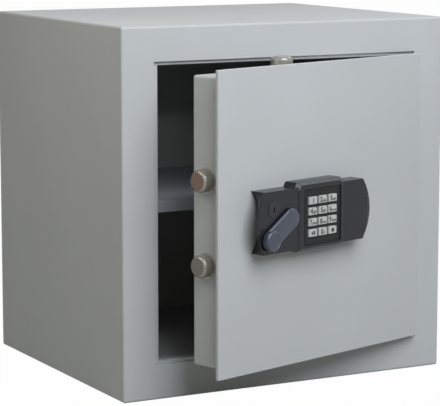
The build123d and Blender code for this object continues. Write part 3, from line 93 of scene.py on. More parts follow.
# ---------------------------------------------------------------- node trees
class Wire:
    """A node's socket that takes part in sums, so that 1 - mask * 0.5 adds its own Math nodes."""

    def __init__(self, tree: "Tree", socket: bpy.types.NodeSocket) -> None:
        """Keep the socket and the tree that it belongs to."""
        self.tree = tree
        self.socket = socket

    def __add__(self, other: "Wire | float") -> "Wire":
        """Sum with a wire or a number."""
        return self.tree.maths("ADD", self, other)

    __radd__ = __add__

    def __sub__(self, other: "Wire | float") -> "Wire":
        """Difference from a wire or a number."""
        return self.tree.maths("SUBTRACT", self, other)

    def __rsub__(self, other: float) -> "Wire":
        """A number minus this wire."""
        return self.tree.maths("SUBTRACT", other, self)

    def __mul__(self, other: "Wire | float") -> "Wire":
        """Product with a wire or a number."""
        return self.tree.maths("MULTIPLY", self, other)

    def __pow__(self, other: float) -> "Wire":
        """This wire raised to a power."""
        return self.tree.maths("POWER", self, other)

    def __gt__(self, other: "Wire | float") -> "Wire":
        """1 where this wire is greater, and 0 elsewhere."""
        return self.tree.maths("GREATER_THAN", self, other)

    def sibling(self, name: str) -> "Wire":
        """Another output of the same node."""
        return Wire(self.tree, self.socket.node.outputs[name])

    def ramped(self, low: float, high: float) -> "Wire":
        """A smooth step from 0 at low to 1 at high."""
        inputs = {"Value": self, "From Min": low, "From Max": high}
        return self.tree.node("ShaderNodeMapRange", {"interpolation_type": "SMOOTHSTEP"}, inputs)


class Tree:
    """A node tree, filled one node at a time."""

    def __init__(self, tree: bpy.types.NodeTree) -> None:
        """Empty the tree."""
        self.tree = tree
        self.tree.nodes.clear()

    def node(self, kind: str, settings: dict | None = None, inputs: dict | None = None,
             output: int | str = 0) -> Wire:
        """Add any node.

        Args:
            kind: The node's type.
            settings: Its settings by name.
            inputs: Values or wires by socket name or number.
            output: Which output to return.

        Returns:
            The chosen output as a wire, or the node's first input where it has no output.
        """
        made = self.tree.nodes.new(kind)
        for key, value in (settings or {}).items():
            setattr(made, key, value)
        for key, value in (inputs or {}).items():
            if isinstance(value, Wire):
                self.tree.links.new(value.socket, made.inputs[key])
            else:
                made.inputs[key].default_value = value
        return Wire(self, made.outputs[output] if made.outputs else made.inputs[0])

    def maths(self, operation: str, *terms: "Wire | float") -> Wire:
        """Add a Math node over wires and numbers."""
        return self.node("ShaderNodeMath", {"operation": operation}, dict(enumerate(terms)))


class Graph(Tree):
    """The node tree of one material."""

    def __init__(self, name: str) -> None:
        """Start an empty material, with the piece's own coordinates in metres.

        Args:
            name: The material's name.
        """
        self.material = bpy.data.materials.new(name)
        self.material.use_nodes = True
        super().__init__(self.material.node_tree)
        self.place = self.node("ShaderNodeTexCoord", output="Object")

    def mapped(self, scale: tuple[float, float, float], place: Wire | None = None) -> Wire:
        """Coordinates stretched along each axis."""
        return self.vector("MULTIPLY", place or self.place, scale)

    def noise(self, scale: float, detail: float = 2.0, rough: float = 0.5,
              place: Wire | None = None) -> Wire:
        """Cloudy noise around 0.5; scale is features per metre."""
        inputs = {"Vector": place or self.place, "Scale": scale, "Detail": detail, "Roughness": rough}
        return self.node("ShaderNodeTexNoise", None, inputs)

    def cells(self, scale: float, distance: str = "EUCLIDEAN") -> Wire:
        """Distance in a pattern of cells; scale is cells per metre."""
        settings = {"distance": distance, "feature": "F1"}
        return self.node("ShaderNodeTexVoronoi", settings, {"Vector": self.place, "Scale": scale})

    def mix(self, factor: "Wire | float", low: "Wire | tuple", high: "Wire | tuple",
            blend: str = "MIX") -> Wire:
        """Mix two colours."""
        settings = {"data_type": "RGBA", "blend_type": blend}
        return self.node("ShaderNodeMix", settings, {0: factor, 6: low, 7: high}, output=2)

    def vector(self, operation: str, first: Wire, second: "Wire | tuple", output: int | str = 0) -> Wire:
        """Add a Vector Math node."""
        return self.node("ShaderNodeVectorMath", {"operation": operation}, {0: first, 1: second}, output)

    def bump(self, height: Wire, depth: float) -> Wire:
        """A normal from a height map whose full range is depth metres deep."""
        return self.node("ShaderNodeBump", None, {"Height": height, "Distance": depth, "Strength": 1.0})

    def show(self, shader: Wire) -> None:
        """End the material with a shader."""
        self.node("ShaderNodeOutputMaterial", None, {"Surface": shader})

    def surface(self, **inputs: "Wire | float | tuple") -> None:
        """End the material with a Principled surface, its sockets given by name with _ for a space."""
        named = {key.replace("_", " "): value for key, value in inputs.items()}
        self.show(self.node("ShaderNodeBsdfPrincipled", None, named))


# ---------------------------------------------------------------- finishes
@dataclass(frozen=True)
class Finish:
    """A surface finish. Each kind of finish paints itself on a graph."""

    name: str
    tone: Tone

    def paint(self, graph: Graph) -> None:
        """Lay the finish on a graph."""
        raise NotImplementedError

    def toned(self, graph: Graph, share: Wire, low: float, high: float = 1.0) -> Wire:
        """The tone, times low where a share is 0 and times high where it is 1."""
        return graph.mix(share, shaded(self.tone, low), shaded(self.tone, high))

    def material(self) -> bpy.types.Material:
        """The finish's material, made once.

        Returns:
            The same material each time.
        """
        name = self.name + "_finish"
        made = bpy.data.materials.get(name)
        if made is None:
            graph = Graph(name)
            self.paint(graph)
            made = graph.material
        return made


@dataclass(frozen=True)
class PowderCoat(Finish):
    """Baked powder coat: a fine orange peel with faint clouds of tone and gloss."""

    roughness: float = 0.5
    gloss: float = 0.35
    peel_per_metre: float = 620.0
    flecks_per_metre: float = 2600.0
    peel_depth: float = 0.03 * MM
    mottle: float = 0.025

    def paint(self, graph: Graph) -> None:
        """Lay the coat on a graph.

        Args:
            graph: The material's graph.
        """
        cloud = graph.noise(5.0, 4.0).ramped(0.3, 0.7)
        peel = graph.noise(self.peel_per_metre, 1.5)
        fleck = graph.noise(self.flecks_per_metre, 1.0)
        smudge = graph.noise(14.0, 5.0, 0.62).ramped(0.5, 0.75)
        coat = self.toned(graph, cloud, 1 - self.mottle, 1 + self.mottle)
        coat = graph.mix(fleck.ramped(0.62, 0.8) * 0.10, coat, shaded(self.tone, 0.78))
        rough = self.roughness + (peel - 0.5) * 0.10 + smudge * 0.05
        graph.surface(Base_Color=coat, Roughness=rough, Specular_IOR_Level=self.gloss,
                      Normal=graph.bump(peel * 0.8 + fleck * 0.2, self.peel_depth))


@dataclass(frozen=True)
class MouldedPlastic(Finish):
    """Moulded plastic with a spark-eroded grain."""

    roughness: float = 0.4
    gloss: float = 0.25
    grain_per_metre: float = 1500.0
    grain_depth: float = 0.02 * MM

    def paint(self, graph: Graph) -> None:
        """Lay the moulding's grain on a graph.

        Args:
            graph: The material's graph.
        """
        grain = graph.noise(self.grain_per_metre, 3.0, 0.6)
        rubbed = graph.noise(60.0, 4.0, 0.6).ramped(0.56, 0.8)
        body = self.toned(graph, graph.noise(22.0, 3.0).ramped(0.3, 0.7), 0.94, 1.05)
        body = graph.mix(grain.ramped(0.5, 0.75) * 0.25, body, shaded(self.tone, 1.25))
        rough = self.roughness + (grain - 0.5) * 0.2 - rubbed * 0.07
        graph.surface(Base_Color=body, Roughness=rough, Specular_IOR_Level=self.gloss,
                      Normal=graph.bump(grain, self.grain_depth))


@dataclass(frozen=True)
class TurnedMetal(Finish):
    """Plated bar turned on a lathe: fine rings round an axis, and an end face with its own tone and more
    metallic sheen, which paints the reflection that face shows.
    """

    centre: tuple[float, float, float] = (0.0, 0.0, 0.0)
    axis: tuple[float, float, float] = (0.0, 0.0, 1.0)
    # Painted reflection: the end face's tone stands in for what that face reflects.
    face_reflection_tone: Tone = (104, 102, 94)
    face_radius: float = 0.012
    face_fade: float = 0.04
    roughness: float = 0.2
    rings_per_metre: float = 2600.0
    ring_depth: float = 0.006 * MM

    def paint(self, graph: Graph) -> None:
        """Lay the turned metal on a graph.

        Args:
            graph: The material's graph.
        """
        from_centre = graph.vector("SUBTRACT", graph.place, self.centre)
        lengthwise, squared = (graph.vector("DOT_PRODUCT", from_centre, other, "Value")
                               for other in (self.axis, from_centre))
        radius = graph.maths("SQRT", graph.maths("MAXIMUM", squared - lengthwise ** 2.0, 0.0))
        rings = graph.node("ShaderNodeTexNoise", {"noise_dimensions": "1D"},
                           {"W": lengthwise + radius, "Scale": self.rings_per_metre, "Detail": 2.0})
        stain = graph.noise(130.0, 4.0, 0.6, from_centre)
        scratches = graph.mapped((240.0, 240.0, 900.0), from_centre)
        scuff = graph.noise(1.0, 3.0, place=scratches).ramped(0.6, 0.72)
        low, high = (self.face_radius * (1 + side * self.face_fade) for side in (-1, 1))
        # Painted reflection: inside the face mask the end face takes its own tone, and below more metallic
        # sheen than the wall, standing in for the reflection it shows.
        face = 1 - radius.ramped(low, high)
        metal = graph.mix(face, linear(self.tone), linear(self.face_reflection_tone))
        metal = graph.mix(stain.ramped(0.35, 0.7) * 0.14, metal, shaded(self.tone, 0.3))
        metal = graph.mix(scuff * 0.3, metal, shaded(self.tone, 0.4))
        rough = self.roughness + (rings - 0.5) * 0.12 + scuff * 0.15
        graph.surface(Base_Color=metal, Metallic=0.35 + face * 0.5, Roughness=rough,
                      Normal=graph.bump(rings, self.ring_depth))


@dataclass(frozen=True)
class PlatedSteel(Finish):
    """Zinc-plated or bare sheet and bar: drawn streaks and cloudy passivation."""

    roughness: float = 0.36
    drawn: tuple[float, float, float] = (90.0, 90.0, 1200.0)
    tint: Tone = (196, 190, 168)
    streak_depth: float = 0.008 * MM

    def paint(self, graph: Graph) -> None:
        """Lay the plating on a graph.

        Args:
            graph: The material's graph.
        """
        streak = graph.noise(1.0, 3.0, place=graph.mapped(self.drawn))
        cloud = graph.noise(45.0, 4.0, 0.6)
        metal = self.toned(graph, cloud.ramped(0.3, 0.75), 0.85)
        metal = graph.mix(cloud.ramped(0.55, 0.8) * 0.35, metal, linear(self.tint), "MULTIPLY")
        rough = self.roughness + (streak - 0.5) * 0.2 + cloud * 0.08
        graph.surface(Base_Color=metal, Metallic=1.0, Roughness=rough,
                      Normal=graph.bump(streak, self.streak_depth))


@dataclass(frozen=True)
class FlakeLacquer(Finish):
    """Metallic lacquer: small bright flakes under a clear coat."""

    flake: Tone = (112, 120, 138)
    flakes_per_metre: float = 4200.0
    flake_depth: float = 0.006 * MM

    def paint(self, graph: Graph) -> None:
        """Lay the lacquer on a graph.

        Args:
            graph: The material's graph.
        """
        flakes = graph.cells(self.flakes_per_metre)
        rub = graph.noise(150.0, 4.0, 0.65).ramped(0.58, 0.75)
        body = self.toned(graph, graph.noise(60.0, 3.0).ramped(0.3, 0.7), 0.93, 1.07)
        body = graph.mix((1 - flakes.ramped(0.1, 0.45)) * 0.3, body, linear(self.flake))
        rough = 0.40 + (flakes - 0.4) * 0.12 + rub * 0.10
        graph.surface(Base_Color=body, Metallic=0.25, Roughness=rough, Coat_Weight=0.35,
                      Coat_Roughness=0.22, Normal=graph.bump(flakes, self.flake_depth))


@dataclass(frozen=True)
class PressedBoard(Finish):
    """Paper-faced gypsum board with flecks and faint fibres."""

    fibre_depth: float = 0.12 * MM

    def paint(self, graph: Graph) -> None:
        """Lay the board on a graph.

        Args:
            graph: The material's graph.
        """
        fibre = graph.noise(1.0, 4.0, 0.6, graph.mapped((180.0, 180.0, 1400.0)))
        fleck = 1 - graph.cells(160.0).ramped(0.06, 0.14)
        face = self.toned(graph, fibre.ramped(0.3, 0.7), 0.9)
        face = graph.mix(fleck * 0.5, face, shaded(self.tone, 0.55))
        graph.surface(Base_Color=face, Roughness=0.92 - fibre * 0.1,
                      Normal=graph.bump(fibre, self.fibre_depth))


@dataclass(frozen=True)
class SinteredBronze(Finish):
    """Porous bearing bronze, or brass where the pores are few."""

    pores: float = 0.4
    metallic: float = 1.0
    pore_depth: float = 0.01 * MM

    def paint(self, graph: Graph) -> None:
        """Lay the bronze on a graph.

        Args:
            graph: The material's graph.
        """
        pore = 1 - graph.cells(2400.0).ramped(0.12, 0.3)
        cloud = graph.noise(160.0, 3.0)
        metal = self.toned(graph, cloud.ramped(0.3, 0.7), 0.8)
        metal = graph.mix(pore * self.pores, metal, shaded(self.tone, 0.3))
        graph.surface(Base_Color=metal, Metallic=self.metallic, Roughness=0.34 + cloud * 0.12 + pore * 0.2,
                      Normal=graph.bump(1 - pore, self.pore_depth))


@dataclass(frozen=True)
class SoftRubber(Finish):
    """Matt rubber with a dusty bloom."""

    grain_depth: float = 0.02 * MM

    def paint(self, graph: Graph) -> None:
        """Lay the rubber on a graph.

        Args:
            graph: The material's graph.
        """
        bloom = graph.noise(35.0, 5.0, 0.65)
        body = self.toned(graph, bloom.ramped(0.45, 0.75) * 0.4, 1.0, 1.7)
        graph.surface(Base_Color=body, Roughness=0.78 + bloom * 0.12,
                      Normal=graph.bump(graph.noise(1800.0, 2.0), self.grain_depth))


@dataclass(frozen=True)
class TracedBoard(Finish):
    """Circuit board: solder resist over a maze of copper tracks, with tinned pads."""

    track: Tone = (58, 118, 66)
    pad: Tone = (196, 196, 186)
    track_depth: float = 0.04 * MM

    def paint(self, graph: Graph) -> None:
        """Lay the board's tracks on a graph.

        Args:
            graph: The material's graph.
        """
        maze = graph.cells(190.0, "MANHATTAN")
        line = maze.ramped(0.42, 0.46) - maze.ramped(0.56, 0.60)
        dot = 1 - graph.cells(150.0).ramped(0.12, 0.15)
        face = graph.mix(line, linear(self.tone), linear(self.track))
        face = graph.mix(dot, face, linear(self.pad))
        graph.surface(Base_Color=face, Metallic=dot * 0.9, Roughness=0.34 - dot * 0.08,
                      Normal=graph.bump(line + dot, self.track_depth))


@dataclass(frozen=True)
class CellSleeve(Finish):
    """A cell's shrink sleeve, with one pale band at a height."""

    band: Tone = (188, 150, 88)
    band_low: float = 0.259
    band_high: float = 0.2715
    bare: float = 0.6

    def paint(self, graph: Graph) -> None:
        """Lay the sleeve on a graph.

        Args:
            graph: The material's graph.
        """
        height = graph.node("ShaderNodeSeparateXYZ", None, {"Vector": graph.place}, output="Z")
        inside = (height > self.band_low) * (1 - (height > self.band_high))
        scratch = graph.noise(1.0, 3.0, place=graph.mapped((900.0, 900.0, 60.0))).ramped(0.62, 0.7)
        skin = graph.mix(inside, linear(self.tone), linear(self.band))
        skin = graph.mix(scratch * 0.3, skin, (self.bare, self.bare, self.bare, 1.0))
        graph.surface(Base_Color=skin, Metallic=inside * 0.6, Roughness=0.3 + scratch * 0.3)


@dataclass(frozen=True)
class Ink(Finish):
    """Printed marking ink, a little uneven."""

    def paint(self, graph: Graph) -> None:
        """Lay the ink on a graph.

        Args:
            graph: The material's graph.
        """
        patch = graph.noise(900.0, 3.0)
        ink = self.toned(graph, patch.ramped(0.4, 0.7) * 0.4, 1.0, 1.6)
        graph.surface(Base_Color=ink, Roughness=0.5 + patch * 0.15)


# ---------------------------------------------------------------- meshes
Profile = Sequence[tuple[float, float]]

JOIN_WITHIN = 0.001 * MM
TEXT_JOIN_WITHIN = 0.0001 * MM
FLAT_WITHIN = 0.001 * MM
FLAT_ANGLE = math.radians(0.5)
CREASE = 35.0
FOLD_SHARE = 1.001
FOLD_AREA = 0.001 * MM ** 2


def builder_of(mesh: bpy.types.Mesh, within: float) -> bmesh.types.BMesh:
    """A builder that starts from a mesh.

    Args:
        mesh: The mesh to start from.
        within: Vertices as near to each other as this are joined.

    Returns:
        The builder.
    """
    builder = bmesh.new()
    builder.from_mesh(mesh)
    bmesh.ops.remove_doubles(builder, verts=builder.verts, dist=within)
    return builder


def meshed(builder: bmesh.types.BMesh, name: str) -> bpy.types.Mesh:
    """Turn a builder into a mesh and free it.

    Args:
        builder: The builder; it can't be used again.
        name: Name for the mesh.

    Returns:
        The mesh.
    """
    mesh = bpy.data.meshes.new(name)
    builder.to_mesh(mesh)
    builder.free()
    return mesh


def sketched(name: str, points: Iterable[Sequence[float]], edges: Sequence[tuple[int, int]] = (),
             faces: Sequence[tuple[int, ...]] = ()) -> bpy.types.Mesh:
    """A mesh written out point by point.

    Args:
        name: Name for the mesh.
        points: Its points.
        edges: Pairs of numbers of points.
        faces: Numbers of points round each face.

    Returns:
        The mesh.
    """
    mesh = bpy.data.meshes.new(name)
    mesh.from_pydata([tuple(point) for point in points], edges, faces)
    return mesh


def skinned(outlines: Iterable[Iterable[Sequence[float]]], name: str, ring: bool = False) -> bpy.types.Mesh:
    """A closed mesh through outlines that all have as many corners.

    Args:
        outlines: The corners of each outline.
        name: Name for the mesh.
        ring: Whether the last outline joins the first one; if not, both are filled.

    Returns:
        The mesh.
    """
    builder = bmesh.new()
    loops = [[builder.verts.new(corner) for corner in outline] for outline in outlines]
    for first, second in zip(loops, loops[1:] + (loops[:1] if ring else [])):
        for i, corner in enumerate(first):
            j = (i + 1) % len(first)
            builder.faces.new((corner, first[j], second[j], second[i]))
    if not ring:
        builder.faces.new(list(reversed(loops[0])))
        builder.faces.new(loops[-1])
    bmesh.ops.recalc_face_normals(builder, faces=builder.faces)
    return meshed(builder, name)


def smooth_by_angle(mesh: bpy.types.Mesh, degrees: float = 32.0) -> None:
    """Shade a mesh smooth.

    Args:
        mesh: The mesh to shade.
        degrees: Edges sharper than this stay crisp.
    """
    for face in mesh.polygons:
        face.use_smooth = True
    mesh.set_sharp_from_angle(angle=math.radians(degrees))


def applied(carrier: bpy.types.Object, name: str) -> bpy.types.Mesh:
    """The carrier's mesh with its modifiers applied; the carrier itself is removed.

    Args:
        carrier: Object with modifiers.
        name: Name for the new mesh.

    Returns:
        A plain mesh.
    """
    bpy.context.view_layer.update()
    depsgraph = bpy.context.evaluated_depsgraph_get()
    mesh = bpy.data.meshes.new_from_object(carrier.evaluated_get(depsgraph))
    mesh.name = name
    carrier.modifiers.clear()
    bpy.data.objects.remove(carrier)
    return mesh


def linked(name: str, data: bpy.types.ID) -> bpy.types.Object:
    """A new object in the scene.

    Args:
        name: The object's name.
        data: Its mesh, text, lamp or camera.

    Returns:
        The object.
    """
    made = bpy.data.objects.new(name, data)
    bpy.context.scene.collection.objects.link(made)
    return made


def add_bevel(carrier: bpy.types.Object, width: float, segments: int, crease: float | None = None) -> None:
    """Add a bevel.

    Args:
        carrier: The object that gets it.
        width: Its width.
        segments: Faces across it.
        crease: Edges sharper than this, in degrees, get it; if left out, the weighted ones do.
    """
    bevel = carrier.modifiers.new("soft_edges", "BEVEL")
    bevel.width = width
    bevel.segments = segments
    bevel.limit_method = "WEIGHT" if crease is None else "ANGLE"
    if crease is not None:
        bevel.angle_limit = math.radians(crease)
    bevel.use_clamp_overlap = False
    bevel.miter_outer = "MITER_ARC"


def weigh_normals(carrier: bpy.types.Object) -> None:
    """Weight the normals, so that large faces look flat beside their rounded edges."""
    weighted = carrier.modifiers.new("flat_faces", "WEIGHTED_NORMAL")
    weighted.keep_sharp = True


def folded_faces(builder: bmesh.types.BMesh) -> dict[bmesh.types.BMFace, Vector]:
    """Faces whose triangles cover more than their outline holds.

    Args:
        builder: The mesh to look through.

    Returns:
        The normal of each such face's largest triangle, by face.
    """
    cover: dict[bmesh.types.BMFace, float] = {}
    largest: dict[bmesh.types.BMFace, Vector] = {}
    for first, second, third in builder.calc_loop_triangles():
        across = (second.vert.co - first.vert.co).cross(third.vert.co - first.vert.co) / 2
        cover[first.face] = cover.get(first.face, 0.0) + across.length
        if across.length > largest.get(first.face, Vector()).length:
            largest[first.face] = across
    return {face: largest[face].normalized() for face, area in cover.items()
            if area > face.calc_area() * FOLD_SHARE + FOLD_AREA and face in largest}


def flat_region(face: bmesh.types.BMFace, normal: Vector) -> set[bmesh.types.BMFace]:
    """The faces that join a face and lie in its plane.

    Args:
        face: The face to start from.
        normal: Normal of its plane.

    Returns:
        The region's faces, with the first one.
    """
    height = face.verts[0].co.dot(normal)
    region, fringe = {face}, [face]
    while fringe:
        for edge in fringe.pop().edges:
            for other in edge.link_faces:
                if other in region:
                    continue
                if all(abs(vertex.co.dot(normal) - height) < FLAT_WITHIN for vertex in other.verts):
                    region.add(other)
                    fringe.append(other)
    return region


def unfolded(mesh: bpy.types.Mesh) -> bpy.types.Mesh:
    """Fill again each flat region in which a face folds over itself, where that leaves it closed.

    Args:
        mesh: A closed mesh; it is changed.

    Returns:
        The same mesh.
    """
    builder = bmesh.new()
    builder.from_mesh(mesh)
    for face, normal in folded_faces(builder).items():
        if not face.is_valid:
            continue
        region = flat_region(face, normal)
        outlines = [part.verts[:] for part in region]
        rim = [edge for part in region for edge in part.edges
               if sum(other in region for other in edge.link_faces) == 1]
        bmesh.ops.delete(builder, geom=list(region), context="FACES_ONLY")
        filled = bmesh.ops.triangle_fill(builder, use_beauty=True, edges=rim, normal=normal)["geom"]
        patches = [part for part in filled if isinstance(part, bmesh.types.BMFace)]
        inner = [edge for patch in patches for edge in patch.edges]
        if any(len(edge.link_faces) != 2 for edge in rim + inner):
            bmesh.ops.delete(builder, geom=patches, context="FACES_ONLY")
            patches = [builder.faces.new(outline) for outline in outlines]
        for patch in patches:
            patch.smooth = True
        loose = [edge for edge in builder.edges if not edge.link_faces]
        bmesh.ops.delete(builder, geom=loose, context="EDGES")
    bmesh.ops.recalc_face_normals(builder, faces=builder.faces)
    builder.to_mesh(mesh)
    builder.free()
    return mesh


def softened(mesh: bpy.types.Mesh, name: str, width: float, segments: int = 2, crease: float = CREASE,
             zone: Callable[[Vector], bool] | None = None) -> bpy.types.Mesh:
    """A copy of a mesh with its sharp edges rounded.

    Args:
        mesh: The mesh to copy.
        name: Name for the copy.
        width: Width of the rounding.
        segments: Faces across the rounding.
        crease: Edges sharper than this, in degrees, are rounded.
        zone: Tells whether an edge with this middle is rounded; all are if it is left out.

    Returns:
        The softened mesh.
    """
    builder = builder_of(mesh, JOIN_WITHIN)
    bmesh.ops.dissolve_limit(builder, angle_limit=FLAT_ANGLE, verts=builder.verts, edges=builder.edges)
    weight = builder.edges.layers.float.new("bevel_weight_edge")
    for edge in builder.edges:
        middle = (edge.verts[0].co + edge.verts[1].co) / 2
        sharp = len(edge.link_faces) == 2 and edge.calc_face_angle() > math.radians(crease)
        edge[weight] = 1.0 if sharp and (zone is None or zone(middle)) else 0.0
    carrier = linked(name + "_carrier", meshed(builder, name))
    smooth_by_angle(carrier.data, crease)
    add_bevel(carrier, width, segments)
    rounded = linked(name + "_rounded", unfolded(applied(carrier, name + "_bevelled")))
    weigh_normals(rounded)
    return applied(rounded, name)


def lathe(profile: Profile, name: str, segments: int = 48) -> bpy.types.Mesh:
    """A solid turned round the local z axis.

    Args:
        profile: (radius, height) pairs from the axis out and back to it.
        name: Name for the mesh.
        segments: Steps round the axis.

    Returns:
        A closed mesh.
    """
    builder = bmesh.new()
    rings = []
    for radius, height in profile:
        count = segments if radius > 0 else 1
        turn = math.tau / segments
        rings.append([builder.verts.new((radius * math.cos(turn * i), radius * math.sin(turn * i), height))
                      for i in range(count)])
    for inner, outer in zip(rings, rings[1:]):
        for i in range(segments):
            corners = [inner[i % len(inner)], outer[i % len(outer)],
                       outer[(i + 1) % len(outer)], inner[(i + 1) % len(inner)]]
            builder.faces.new(list(dict.fromkeys(corners)))
    bmesh.ops.recalc_face_normals(builder, faces=builder.faces)
    mesh = meshed(builder, name)
    smooth_by_angle(mesh)
    return mesh


def merged(meshes: Iterable[bpy.types.Mesh], name: str) -> bpy.types.Mesh:
    """Several meshes as one.

    Args:
        meshes: The meshes.
        name: Name for the whole.

    Returns:
        The whole, shaded smooth.
    """
    builder = bmesh.new()
    for mesh in meshes:
        builder.from_mesh(mesh)
    whole = meshed(builder, name)
    smooth_by_angle(whole)
    return whole


def painted(mesh: bpy.types.Mesh, finish: Finish) -> None:
    """Give a whole mesh one finish.

    Args:
        mesh: The mesh.
        finish: Its finish.
    """
    mesh.materials.clear()
    mesh.materials.append(finish.material())
    for face in mesh.polygons:
        face.material_index = 0


@dataclass(frozen=True)
class Piece:
    """A finished piece and whom it belongs to."""

    name: str
    mesh: bpy.types.Mesh
    finish: Finish
    body: str
    slot: str
    stands_for: tuple[str, ...] = ()

    def settle(self) -> None:
        """Put the piece in the scene, painted and riding on its body."""
        painted(self.mesh, self.finish)
        made = linked(self.name, self.mesh)
        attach(made, self.body)
        if self.stands_for:
            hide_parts(*self.stands_for)
        log.info("%s: %d faces on %s", self.name, len(self.mesh.polygons), self.body)


def dress(finish: Finish, *nodes: str) -> None:
    """Give nodes of the frame their finish.

    Args:
        finish: The finish.
        nodes: The nodes.
    """
    for node in nodes:
        painted(frame["nodes"][node].data, finish)
        log.info("%s: dressed in %s", node, finish.name)


def soften_node(node: str, finish: Finish, body: str, slot: str, width: float, segments: int = 2,
                crease: float = CREASE, zone: Callable[[Vector], bool] | None = None) -> None:
    """Stand a softened copy of a node in its place.

    Args:
        node: The node.
        finish: The copy's finish.
        body: The body that it rides on.
        slot: The slot of its paint.
        width: Width of the rounding.
        segments: Faces across the rounding.
        crease: Edges sharper than this, in degrees, are rounded.
        zone: Tells whether an edge with this middle is rounded; all are if it is left out.
    """
    name = node + "_softened"
    mesh = softened(frame["nodes"][node].data, name, width, segments, crease, zone)
    Piece(name, mesh, finish, body, slot, (node,)).settle()


def reach(node: str, direction: Vector, origin: Vector = ORIGIN) -> tuple[float, float]:
    """A node's lowest and highest place along a direction, from an origin."""
    places = [(vertex.co - origin).dot(direction) for vertex in frame["nodes"][node].data.vertices]
    return min(places), max(places)


def islands(node: str) -> list[tuple[Vector, Vector]]:
    """The boxes of a node's separate solids.

    Args:
        node: A node of the frame.

    Returns:
        (lowest corner, highest corner) of each solid, in the order they are found.
    """
    builder = builder_of(frame["nodes"][node].data, JOIN_WITHIN)
    waiting = set(builder.verts)
    boxes = []
    while waiting:
        stack = [waiting.pop()]
        points = []
        while stack:
            vertex = stack.pop()
            points.append(vertex.co.copy())
            for edge in vertex.link_edges:
                other = edge.other_vert(vertex)
                if other in waiting:
                    waiting.remove(other)
                    stack.append(other)
        low = Vector(tuple(min(point[axis] for point in points) for axis in range(3)))
        high = Vector(tuple(max(point[axis] for point in points) for axis in range(3)))
        boxes.append((low, high))
    builder.free()
    return sorted(boxes, key=lambda pair: tuple(round(value, 6) for value in pair[0]))


# ---------------------------------------------------------------- geometry nodes
class Recipe(Tree):
    """A Geometry Nodes tree with named inputs, used once through a modifier and then applied."""

    crease: float = 40.0
    segments: int = 2

    def __init__(self, name: str, finish: Finish, **inputs: float | Vector) -> None:
        """Start a tree.

        Args:
            name: The tree's name.
            finish: What the result is painted with.
            inputs: Named inputs and their values; a number or a vector.
        """
        super().__init__(bpy.data.node_groups.new(name, "GeometryNodeTree"))
        self.finish = finish
        self.values: dict[str, float | Vector] = {}
        interface = self.tree.interface
        interface.new_socket("Geometry", in_out="INPUT", socket_type="NodeSocketGeometry")
        for key, value in inputs.items():
            kind = "NodeSocketVector" if isinstance(value, Vector) else "NodeSocketFloat"
            socket = interface.new_socket(key, in_out="INPUT", socket_type=kind)
            self.values[socket.identifier] = value
        interface.new_socket("Geometry", in_out="OUTPUT", socket_type="NodeSocketGeometry")
        self.start = self.node("NodeGroupInput")

    def value(self, name: str) -> Wire:
        """One of the tree's inputs."""
        return self.start.sibling(name)

    def moved(self, geometry: Wire, z: "Wire | float") -> Wire:
        """Geometry moved up by a height."""
        offset = self.node("ShaderNodeCombineXYZ", None, {"Z": z})
        return self.node("GeometryNodeTransform", None, {"Geometry": geometry, "Translation": offset})

    def cylinder(self, sides: int, radius: Wire, depth: Wire, middle: "Wire | float") -> Wire:
        """A cylinder along z, whose middle is at a height."""
        inputs = {"Vertices": sides, "Radius": radius, "Depth": depth}
        return self.moved(self.node("GeometryNodeMeshCylinder", None, inputs), middle)

    def joined(self, *parts: Wire) -> Wire:
        """Several geometries as one.

        Args:
            parts: The geometries.

        Returns:
            The whole.
        """
        made = self.node("GeometryNodeJoinGeometry")
        for part in parts:
            self.tree.links.new(part.socket, made.socket.node.inputs[0])
        return made

    def plant(self, points: Wire, instance: Wire, **inputs: Wire) -> None:
        """Stand copies of an instance on points, and end the tree with real, painted geometry.

        Args:
            points: Where the copies stand.
            instance: What is copied.
            inputs: More inputs of the node that places them, such as Rotation or Scale.
        """
        placed = self.node("GeometryNodeInstanceOnPoints", None,
                           {"Points": points, "Instance": instance, **inputs})
        real = self.node("GeometryNodeRealizeInstances", None, {"Geometry": placed})
        coated = self.node("GeometryNodeSetMaterial", None,
                           {"Geometry": real, "Material": self.finish.material()})
        self.node("NodeGroupOutput", None, {0: coated})

    def plant_upright(self, instance: Wire) -> None:
        """Stand an instance on each of the mesh's vertices, with its z along the input named Axis.

        Args:
            instance: What is copied.
        """
        turn = self.node("FunctionNodeAlignRotationToVector", {"axis": "Z"}, {"Vector": self.value("Axis")})
        spots = self.node("GeometryNodeMeshToPoints", None, {"Mesh": self.value("Geometry")})
        self.plant(spots, instance, Rotation=turn)

    def grow(self, seed: bpy.types.Mesh, name: str, width: float = 0.0) -> bpy.types.Mesh:
        """Run the tree on a mesh.

        Args:
            seed: The points or edges that the tree works on.
            name: Name for the result.
            width: Rounding of its sharp edges, or 0 for none.

        Returns:
            The result as a plain mesh.
        """
        carrier = linked(name + "_carrier", seed)
        modifier = carrier.modifiers.new("recipe", "NODES")
        modifier.node_group = self.tree
        for identifier, value in self.values.items():
            modifier[identifier] = value
        if width > 0:
            add_bevel(carrier, width, self.segments, self.crease)
            weigh_normals(carrier)
        return applied(carrier, name)


